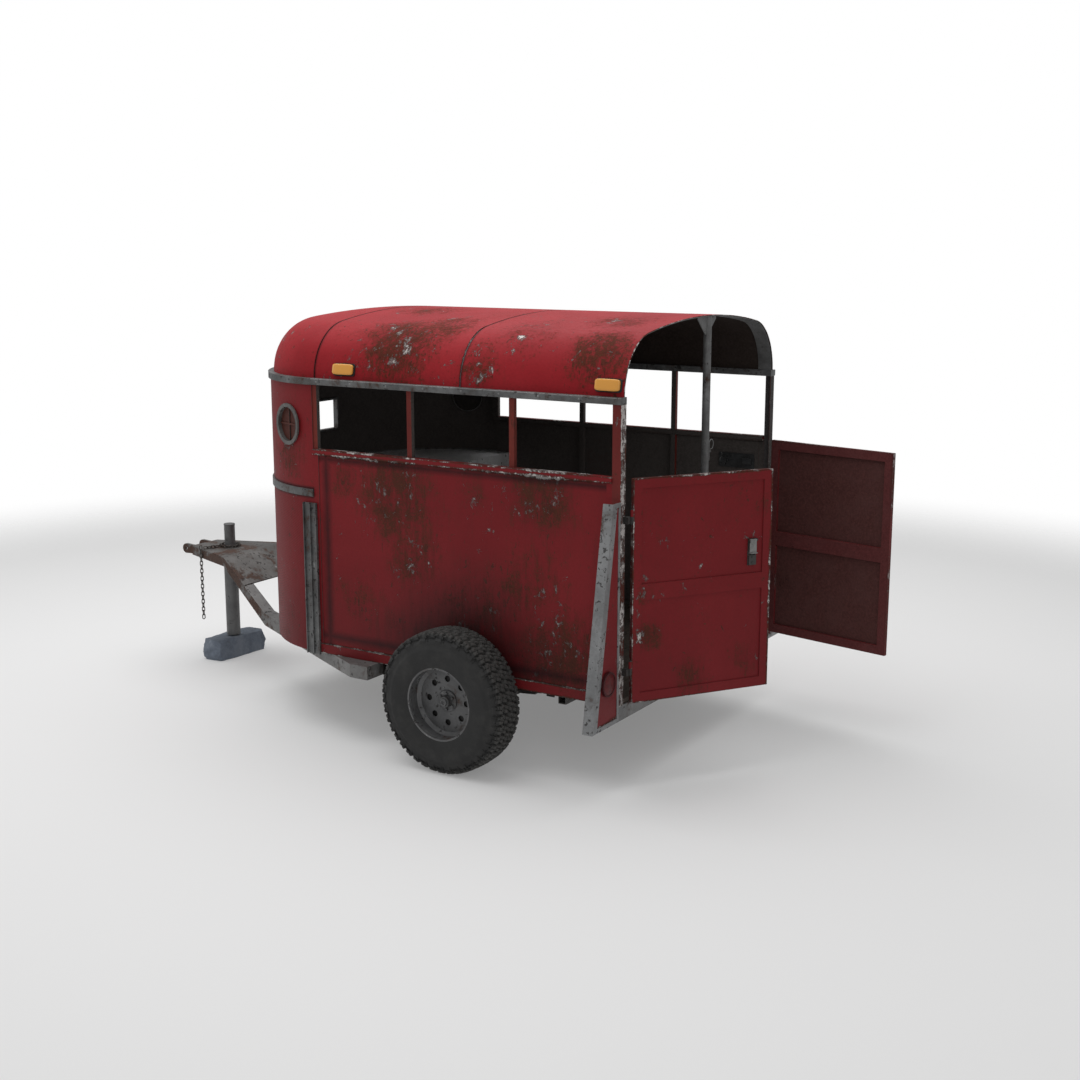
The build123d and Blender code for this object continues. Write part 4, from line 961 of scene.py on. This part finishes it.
# ---------------------------------------------------------------- lamps
@dataclass
class MarkerLenses:
    """Four amber marker lenses: pillows with rounded corners, inside the CAD lenses' own boxes.

    corner and crown are the powers of the outline and of the section; smaller is squarer.
    """

    finish: bpy.types.Material
    corner: float = 0.34
    crown: float = 0.42
    around: int = 56
    rows: int = 15

    def build(self) -> bpy.types.Object:
        """Make the lenses as one mesh.

        A lens is a superellipsoid: with powered cosine c and sine s of the angles u and v, a point is
        (a c(v) c(u), b c(v) s(u), h s(v)) in the frame of its CAD lens, found from that lens's points.

        Returns:
            The lenses' object.
        """
        mesh = frame["nodes"]["marker_lenses"].data
        corners = np.empty(len(mesh.vertices) * 3)
        mesh.vertices.foreach_get("co", corners)
        corners = corners.reshape(-1, 3)
        middle = (corners[:, 0].min() + corners[:, 0].max()) / 2
        unit, faces = self._pillow()
        all_points, all_faces = [], []
        for side in Side:
            for end in (-1, 1):
                own = corners[(corners[:, 1] * side.value > 0) & ((corners[:, 0] - middle) * end > 0)]
                axes = np.linalg.svd(own - own.mean(axis=0), full_matrices=False)[2]
                axes[2] *= np.sign(np.linalg.det(axes))
                spread = own @ axes.T
                low, high = spread.min(axis=0), spread.max(axis=0)
                place = (unit * (high - low) / 2 + (high + low) / 2) @ axes
                all_faces += [[k + len(unit) * len(all_points) for k in face] for face in faces]
                all_points.append(place)
        piece = add_mesh("marker_lens_pillows", np.vstack(all_points), all_faces, 60)
        piece.data.materials.append(self.finish)
        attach(piece, "root")
        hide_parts("marker_lenses")
        return piece

    def _pillow(self) -> tuple[np.ndarray, list[list[int]]]:
        """Work out the unit superellipsoid, with one point at each pole.

        Returns:
            The points and the faces.
        """
        turn = (np.arange(self.around) * TAU / self.around)[None, :]
        rise = np.linspace(-np.pi / 2, np.pi / 2, self.rows + 2)[1:-1, None]

        def powered(wave: np.ndarray, power: float) -> np.ndarray:
            """A wave with its size raised to a power and its sign kept."""
            return np.sign(wave) * np.abs(wave) ** power

        belt = powered(np.cos(rise), self.crown)
        points = np.stack([belt * powered(np.cos(turn), self.corner),
                           belt * powered(np.sin(turn), self.corner),
                           powered(np.sin(rise), self.crown) * np.ones_like(turn)], axis=-1).reshape(-1, 3)
        points = np.vstack([points, [(0, 0, -1), (0, 0, 1)]])
        faces = grid_faces(self.rows, self.around, False, True).tolist()
        count, last = self.around, (self.rows - 1) * self.around
        south, north = self.rows * count, self.rows * count + 1
        faces += [[south, (k + 1) % count, k] for k in range(count)]
        faces += [[north, last + k, last + (k + 1) % count] for k in range(count)]
        return points, faces


# ---------------------------------------------------------------- stone
@dataclass
class JackStone:
    """Split slate block under the jack leg."""

    finish: bpy.types.Material
    rows: int = 110
    columns: int = 200
    chips: int = 46
    coarse: float = 0.0045
    fine: float = 0.0022

    def build(self) -> bpy.types.Object:
        """Make the block.

        In each direction the surface is the nearest of many planes: the six sides of the box, and
        random planes that cut its edges and corners. Noise roughens it, and the last step fits it to
        the CAD block's box.

        Returns:
            The stone's object.
        """
        low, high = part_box("stone_block")
        half = np.array((high - low) / 2)
        centre = np.array((high + low) / 2)
        rng = np.random.default_rng(11)
        polar = np.linspace(0, np.pi, self.rows)[1:-1, None]
        turn = np.arange(self.columns)[None, :] * TAU / self.columns
        ray = np.stack([np.sin(polar) * np.cos(turn), np.sin(polar) * np.sin(turn),
                        np.cos(polar) * np.ones_like(turn)], axis=-1).reshape(-1, 3)
        ray = np.vstack([ray, [[0, 0, 1]], [[0, 0, -1]]]) * half
        ray /= np.linalg.norm(ray, axis=1)[:, None]
        normals = rng.normal(size=(self.chips, 3)) * (0.7, 1.0, 0.8)
        normals /= np.linalg.norm(normals, axis=1)[:, None]
        corner = np.abs(normals) @ half
        heights = corner * rng.uniform(0.80, 0.93, self.chips)
        tilts = np.vstack([np.eye(3), -np.eye(3)]) + rng.normal(scale=0.045, size=(6, 3))
        tilts[5] = (0, 0, -1)
        normals = np.vstack([normals, tilts])
        heights = np.concatenate([heights, np.tile(half, 2)])
        slope = np.maximum(ray @ normals.T, 1e-6)
        reach = (heights / slope).min(axis=1)
        points = ray * reach[:, None]
        rough = self.coarse * lattice_noise(points, 22, 1) + self.fine * lattice_noise(points, 60, 2)
        points *= (1 + rough / reach)[:, None]
        base = points[:, 2] < -half[2] + 0.004
        points[base, 2] = -half[2]
        points = points / np.abs(points).max(axis=0) * half * 0.999
        points[:, 2] += -half[2] - points[:, 2].min()
        faces = self._faces()
        piece = add_mesh("slate_block", points + centre, faces, 32)
        piece.data.materials.append(self.finish)
        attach(piece, "jack")
        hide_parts("stone_block")
        return piece

    def _faces(self) -> list[list[int]]:
        """Put quads between the rings, and a fan at each pole.

        Returns:
            The faces as lists of point numbers.
        """
        rings = self.rows - 2
        quads = grid_faces(rings, self.columns, False, True)[:, ::-1].tolist()
        top, bottom = rings * self.columns, rings * self.columns + 1
        last = (rings - 1) * self.columns
        fans = []
        for c in range(self.columns):
            after = (c + 1) % self.columns
            fans.append([top, c, after])
            fans.append([bottom, last + after, last + c])
        return quads + fans


# ---------------------------------------------------------------- studio
@dataclass
class Studio:
    """Camera, soft light and a plain pale floor that fades out."""

    eye: tuple[float, float, float] = (4.9107, -7.162, 2.746)
    tilt: float = 78.545
    turn: float = 31.87
    lens: float = 50.0
    sensor: float = 36.0
    aim: tuple[float, float, float] = (0.2, 0.0, 0.9)
    round_light: float = 0.40
    floor_radius: float = 16.0
    floor_sides: int = 96
    fade: tuple[float, float] = (8.6, 5.6)
    floor_glow: float = 0.20

    def build(self) -> None:
        """Set up the camera, world, lights and floor."""
        self._camera()
        self._world()
        self._lights()
        self._floor()
        bpy.context.scene.view_settings.view_transform = "Standard"

    def _camera(self) -> None:
        """Aim the scene's camera."""
        lens = bpy.data.cameras.new("camera")
        lens.lens = self.lens
        lens.sensor_width = self.sensor
        lens.clip_end = 200
        camera = bpy.data.objects.new("camera", lens)
        camera.location = self.eye
        camera.rotation_euler = (math.radians(self.tilt), 0, math.radians(self.turn))
        bpy.context.scene.collection.objects.link(camera)
        bpy.context.scene.camera = camera

    def _world(self) -> None:
        """White backdrop, and softer grey light from all round."""
        world = bpy.data.worlds.new("studio")
        bpy.context.scene.world = world
        world.use_nodes = True
        tree = world.node_tree
        tree.nodes.clear()
        path = tree.nodes.new("ShaderNodeLightPath")
        seen = tree.nodes.new("ShaderNodeBackground")
        light = tree.nodes.new("ShaderNodeBackground")
        mix = tree.nodes.new("ShaderNodeMixShader")
        output = tree.nodes.new("ShaderNodeOutputWorld")
        seen.inputs[0].default_value = (1, 1, 1, 1)
        seen.inputs[1].default_value = 1.0
        light.inputs[0].default_value = (1, 1, 1, 1)
        light.inputs[1].default_value = self.round_light
        tree.links.new(path.outputs["Is Camera Ray"], mix.inputs[0])
        tree.links.new(light.outputs[0], mix.inputs[1])
        tree.links.new(seen.outputs[0], mix.inputs[2])
        tree.links.new(mix.outputs[0], output.inputs[0])

    def _lights(self) -> None:
        """Large soft lamps: one overhead, one beside the camera, one behind."""
        for name, place, size, watts in (
            ("overhead", (-0.6, 0.4, 6.8), 8.5, 490),
            ("key", (5.5, -8.0, 5.5), 4.0, 70),
            ("nose", (-7.5, -4.0, 4.5), 4.0, 50),
        ):
            data = bpy.data.lights.new(name, "AREA")
            data.size = size
            data.energy = watts
            lamp = bpy.data.objects.new(name, data)
            lamp.location = place
            look = Vector(self.aim) - Vector(place)
            lamp.rotation_euler = look.to_track_quat("-Z", "Y").to_euler()
            bpy.context.scene.collection.objects.link(lamp)

    def _floor(self) -> None:
        """Round floor whose rim fades into the backdrop."""
        angle = np.arange(self.floor_sides) * TAU / self.floor_sides
        points = np.stack([np.cos(angle), np.sin(angle), np.zeros_like(angle)], axis=-1) * self.floor_radius
        floor = add_mesh("studio_floor", points, [list(range(self.floor_sides))], None)
        g = Graph("floor_pale")
        grain = g.noise(3, 3, 0.5)
        away = (g.x * g.x + g.y * g.y) ** 0.5
        g.put(base_color=g.blend(grain * 0.1, (0.58, 0.58, 0.58), (0.55, 0.55, 0.55)), roughness=0.9,
              specular_ior_level=0.1, alpha=away.rise(*self.fade), emission_color=(1.0, 1.0, 1.0),
              emission_strength=self.floor_glow)
        floor.data.materials.append(g.material)


# ---------------------------------------------------------------- finishing the frame's own parts
SIDE_PAINT: Colour = (0.168, 0.0098, 0.0128)
SIDE_FADED: Colour = (0.205, 0.0130, 0.0165)
# Painted shade: the dark colour of faces inside the box.
INSIDE_PAINTED_SHADE: Colour = (0.060, 0.052, 0.048)
DOOR_SPOTS = ((0.10, 0.80, 0.12, 0.9), (0.35, 0.56, 0.16, 0.7), (0.66, 0.62, 0.14, 0.6),
              (0.10, 1.02, 0.10, 0.5), (0.74, 1.40, 0.10, 0.4))
LEAF_WIDTH = 0.803
HINGE_GAP = 0.012


def leaf_direction(name: str) -> tuple[Vector, Vector, Vector]:
    """Where a door leaf points at rest.

    The swing joint's range reaches from closed to folded back, so the range limit nearer to zero in
    size is how far the leaf stands open.

    Args:
        name: the joint's name.

    Returns:
        The hinge's place, the direction from the hinge along the leaf, and the outward normal.
    """
    joint = next(j for j in frame["joints"] if j["name"] == name)
    opened = math.radians(abs(joint["range_deg"][0]))
    hinge = Vector(joint["pos_m"])
    side = 1 if hinge.y > 0 else -1
    leaf = Vector((math.sin(opened), -side * math.cos(opened), 0))
    return hinge, leaf, Vector((math.cos(opened), side * math.sin(opened), 0))


def leaf_edges(node: str, joint: str) -> tuple[Plane, ...]:
    """Wear planes of a door: its free edge, its hinge edge, its top and its bottom.

    Args:
        node: the door frame's node.
        joint: the door's swing joint.

    Returns:
        Planes as (x, y, z, distance, width).
    """
    hinge, leaf, _ = leaf_direction(joint)
    low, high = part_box(node)
    start = leaf.dot(hinge)
    return ((*leaf, start + LEAF_WIDTH, 0.017), (*leaf, start + HINGE_GAP, 0.009),
            (0, 0, 1, high.z, 0.012), (0, 0, 1, low.z, 0.010))


@dataclass
class Finishes:
    """The trailer's materials, one for each group of CAD nodes."""

    groups: list[tuple[object, tuple[str, ...]]] = field(default_factory=list)

    def __post_init__(self) -> None:
        """Choose each group's finish."""
        self.groups = [*self._shell(), *self._doors(), *self._metal(), *self._rest()]

    @staticmethod
    def _shell() -> list[tuple[object, tuple[str, ...]]]:
        """Body panels, frames, posts, nose and roof."""
        shell_centre = (0.3, 0, 1.25)
        tyre_low, tyre_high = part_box("tyre_left")
        axle = (tyre_low + tyre_high) / 2
        sill_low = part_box("side_panels")[1].z
        lip_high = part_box("side_panels")[0].z
        side = WornPaint("side_red", SIDE_PAINT, SIDE_FADED, rust_amount=0.45, chips=0.62, streaks=0.6,
                         inside=INSIDE_PAINTED_SHADE, centre=shell_centre, patches=(
                             (0.14, -0.91, 1.38, 0.40, 1.0), (0.22, -0.91, 1.12, 0.30, 0.75),
                             (1.02, -0.91, 1.50, 0.34, 0.9), (0.95, -0.91, 1.02, 0.32, 0.6),
                             (0.62, -0.91, 1.46, 0.20, 0.5),
                             (-0.24, -0.91, 1.46, 0.17, 0.6), (1.15, -0.91, 0.66, 0.42, 0.75),
                             (0.62, -0.91, 0.84, 0.30, 0.45), (-0.15, -0.91, 0.84, 0.22, 0.5),
                             (0.35, 0.91, 1.30, 0.34, 0.9), (1.10, 0.91, 0.90, 0.30, 0.7),
                             (-0.20, 0.91, 0.75, 0.26, 0.7)),
                         # painted shade on the side panels round each wheel
                         wheel_shade=tuple((axle.x, sign * 0.91, axle.z + 0.10, 0.78, 0.95) for sign in (-1, 1)),
                         seams=((0, 0, 1, sill_low - 0.022, 0.030), (0, 0, 1, lip_high + 0.050, 0.040),
                                (1, 0, 0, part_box("side_panels")[0].x + 0.05, 0.040)),
                         edges=((0, 0, 1, sill_low, 0.020), (0, 0, 1, lip_high, 0.010)))
        frames = WornPaint("frame_red", SIDE_PAINT, SIDE_FADED, rust_amount=0.55, chips=0.85,
                           inside=INSIDE_PAINTED_SHADE, centre=shell_centre,
                           edges=((0, 0, 1, sill_low + 0.027, 0.010), (0, 0, 1, sill_low + 0.002, 0.014),
                                  (0, 0, 1, lip_high, 0.008), (0, 0, 1, lip_high - 0.054, 0.012)))
        # the wall posts' darker brown-red paint is partly painted shade, for posts that stand in shade
        posts = WornPaint("post_red", (0.13, 0.020, 0.016), (0.17, 0.028, 0.020), rust_amount=0.9,
                          rust_scale=5, chips=0.6, inside=INSIDE_PAINTED_SHADE, centre=(0.5, 0, 1.7))
        # the right rear post's inner faces get a near-black grey: painted shade
        corners = WornPaint("rear_post_red", (0.135, 0.018, 0.016), (0.17, 0.025, 0.022),
                            rust_amount=0.8, chips=0.95, inside=(0.055, 0.054, 0.053),
                            centre=(3.2, 0.86, 1.7), lined_side=1,
                            edges=((1, 0, 0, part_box("rear_posts")[1].x, 0.006),))
        nose = WornPaint("nose_red", SIDE_PAINT, SIDE_FADED, rust_amount=0.30, chips=0.62, streaks=0.45,
                         inside=INSIDE_PAINTED_SHADE, centre=shell_centre, hatch=0.55,
                         seams=((1, 0, 0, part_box("side_panels")[0].x - 0.004, 0.012),
                                (0, 0, 1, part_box("nose_belt")[0].z - 0.004, 0.014),
                                (0, 0, 1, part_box("nose_belt")[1].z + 0.004, 0.014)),
                         patches=((-0.62, -0.86, 1.55, 0.20, 0.6), (-1.12, -0.30, 1.50, 0.24, 0.7),
                                  (-1.05, 0.50, 1.05, 0.28, 0.6), (-0.95, -0.62, 0.75, 0.22, 0.5)))
        fins = WornPaint("fin_red", SIDE_PAINT, SIDE_FADED, rust_amount=0.7, chips=0.8,
                         edges=((0, 0, 1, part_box("fin_panels")[0].z, 0.03),))
        # the roof's inside colour, seen from below, is painted shade
        roof = WornPaint("roof_red", (0.265, 0.015, 0.020), (0.335, 0.023, 0.029), gloss=0.06,
                         rust_amount=0.48, rust_scale=2.6, chips=0.80, streaks=0.25, grime=0,
                         inside=(0.030, 0.022, 0.019),
                         centre=(0.1, 0, 1.2), patches=(
                             (0.10, -0.80, 2.17, 0.40, 1.0), (0.30, -0.62, 2.28, 0.30, 0.7),
                             (1.30, -0.80, 2.20, 0.30, 0.95), (1.20, -0.40, 2.32, 0.30, 0.6),
                             (0.62, -0.84, 2.10, 0.22, 0.6), (0.85, -0.70, 2.24, 0.30, 0.45),
                             (-0.10, -0.25, 2.34, 0.30, 0.6), (0.6, 0.7, 2.24, 0.35, 0.9)),
                         seams=((1, 0, 0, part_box("roof_rear")[0].x, 0.014),
                                (1, 0, 0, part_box("roof_front")[0].x, 0.014)),
                         edges=((1, 0, 0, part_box("roof_rear")[0].x - 0.003, 0.009),
                                (1, 0, 0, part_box("roof_rear")[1].x, 0.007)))
        porthole = WornPaint("porthole_brown", (0.060, 0.020, 0.015), (0.085, 0.027, 0.020),
                             rust_amount=1.0, rust_scale=12, chips=0.3, inside=(0.028, 0.024, 0.022),
                             centre=shell_centre)
        return [(side, ("side_panels",)), (frames, ("side_frames",)), (posts, ("wall_posts",)),
                (corners, ("rear_posts",)), (nose, ("nose_lower", "nose_upper")),
                (fins, ("fin_panels",)), (roof, ("roof_rear", "roof_front", "roof_nose")),
                (porthole, ("porthole_discs",))]

    @staticmethod
    def _doors() -> list[tuple[object, tuple[str, ...]]]:
        """The two doors: red outside, and inside a darker dusty maroon that is painted shade."""
        doors = []
        for name, rust in (("left", 0.30), ("right", 0.5)):
            joint = f"door_{name}_swing"
            hinge, leaf, outward = leaf_direction(joint)
            spots = tuple((*(hinge + leaf * along).xy, height, reach, strength)
                          for along, height, reach, strength in DOOR_SPOTS)
            edges = leaf_edges(f"door_frame_{name}", joint)
            for part, wear in (("frame", edges), ("panels", ())):
                paint = WornPaint(f"door_{name}_{part}_red", SIDE_PAINT, SIDE_FADED, rust_amount=rust,
                                  chips=0.62, streaks=0.25, grime=0.15, inside=(0.062, 0.0215, 0.0195)
                                  if part == "panels" else (0.082, 0.020, 0.020),
                                  outward=tuple(outward), patches=spots, edges=wear)
                doors.append((paint, (f"door_{part}_{name}",)))
        return doors

    @staticmethod
    def _metal() -> list[tuple[object, tuple[str, ...]]]:
        """Zinc trims, drawbar, chassis, chain and wheels."""
        return [
            (Zinc("zinc_trim", rust_amount=0.72, pits=1.0, bright=0.95),
             ("corner_channels", "nose_belt", "drip_rails", "nose_drip_rail", "wall_plates",
              "nose_window_frame")),
            (Zinc("zinc_fin", (0.29, 0.295, 0.30), (0.17, 0.173, 0.176), 0.42, 0.95), ("fin_frames",)),
            (Zinc("zinc_post", (0.22, 0.22, 0.22), (0.11, 0.11, 0.11), 0.3, 0.4),
             ("centre_post", "post_gussets", "loop_pin")),
            (Zinc("zinc_leg", (0.150, 0.151, 0.152), (0.095, 0.096, 0.097), 0.25, 0.4, 0.2),
             ("jack_sleeve", "jack_leg")),
            (Zinc("zinc_dull", (0.075, 0.078, 0.080), (0.028, 0.028, 0.028), 0.45), ("butt_bracket",)),
            (Zinc("zinc_bumper", (0.22, 0.22, 0.218), (0.11, 0.11, 0.11), 0.5), ("rear_bumper",)),
            (Zinc("latch_dark", (0.060, 0.058, 0.056), (0.022, 0.020, 0.019), 0.7, 0.7, 0.9),
             ("latch_case", "hinge_brackets", "hinge_pins")),
            (Zinc("latch_worn", (0.30, 0.30, 0.295), (0.11, 0.11, 0.11), 0.4, 0.7, 1.0), ("latch_paddle",)),
            (Zinc("bow_grey", (0.21, 0.21, 0.21), (0.10, 0.10, 0.10), 0.3), ("roof_bows",)),
            (Zinc("drawbar_rusty", (0.21, 0.207, 0.204), (0.12, 0.118, 0.116), 0.45, 0.9,
                  brown_sides=0.22), ("drawbar_left", "drawbar_right", "coupling_ears")),
            (Zinc("plate_rusty", (0.140, 0.134, 0.129), (0.070, 0.066, 0.063), 1.02, 1.0, 0.6),
             ("drawbar_plate",)),
            (Zinc("ring_steel", (0.19, 0.185, 0.18), (0.07, 0.068, 0.066), 0.5, 0.6, 0.9), ("porthole_rings",)),
            (Zinc("chassis_steel", (0.10, 0.095, 0.09), (0.04, 0.038, 0.036), 0.8),
             ("chassis_rails", "crossmembers", "axle", "leaf_springs", "spring_hangers", "spring_clamps")),
            (Zinc("chain_brown", (0.075, 0.065, 0.058), (0.028, 0.024, 0.021), 0.75, 0.6, 0.6),
             ("chain_wrap", "chain_hanging")),
            (Zinc("rim_grey", (0.150, 0.151, 0.153), (0.085, 0.086, 0.088), 0.60, 0.8, 1.0),
             ("wheel_rim_left", "wheel_rim_right", "hub_left", "hub_right")),
            (Zinc("shelf_grey", (0.78, 0.785, 0.79), (0.62, 0.622, 0.625), 0.1, 0.3, 0.3), ("manger_shelf",)),
        ]

    @staticmethod
    def _rest() -> list[tuple[object, tuple[str, ...]]]:
        """Lamps, gaskets, bezels and floor."""
        return [
            (AMBER, ("marker_lenses",)),
            (Lens("red_lens", (0.095, 0.004, 0.005), (0.045, 0.002, 0.003), gloss=0.05), ("tail_lenses",)),
            (Rubber("gasket_black"), ("marker_gaskets",)),
            (WornPaint("bezel_red", (0.052, 0.006, 0.008), (0.075, 0.008, 0.010), rust_amount=0.5,
                       rust_scale=9, chips=0.3), ("tail_bezels",)),
            (Timber("floor_boards"), ("floor_planks",)),
        ]

    def dress(self) -> None:
        """Give every CAD node its material."""
        for finish, names in self.groups:
            material = finish.make()
            for name in names:
                mesh = frame["nodes"][name].data
                mesh.materials.clear()
                mesh.materials.append(material)
                LOG.info("%s wears %s", name, material.name)


def main() -> None:
    """Build the studio, finish the frame and add the modelled pieces."""
    logging.basicConfig(level=logging.INFO, format="%(name)s: %(message)s")
    Studio().build()
    Finishes().dress()
    low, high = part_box("tyre_left")
    hub = (low + high) / 2
    rubber = Rubber("tyre_black", tread=(hub.x, hub.z, high.z / 2)).make()
    steel = Zinc("hub_grey", (0.135, 0.136, 0.138), (0.055, 0.056, 0.058), 0.5, 0.7, 0.9).make()
    drum = Zinc("drum_black", (0.020, 0.019, 0.018), (0.009, 0.009, 0.009), 0.4, 0.6, 0.1).make()
    zinc = Zinc("rivet_grey", (0.24, 0.24, 0.24), (0.12, 0.12, 0.12), 0.3).make()
    pieces = [Tyre(side, rubber).build() for side in Side]
    for side in Side:
        pieces += Hub(side, steel, drum).build()
    pieces.append(MarkerLenses(bpy.data.materials[AMBER.name]).build())
    pieces.append(Rivets(zinc).build())
    pieces.append(JackStone(Slate("slate_blue").make()).build())
    for piece in pieces:
        LOG.info("built %s with %d faces", piece.name, len(piece.data.polygons))


if __name__ == "__main__":
    main()
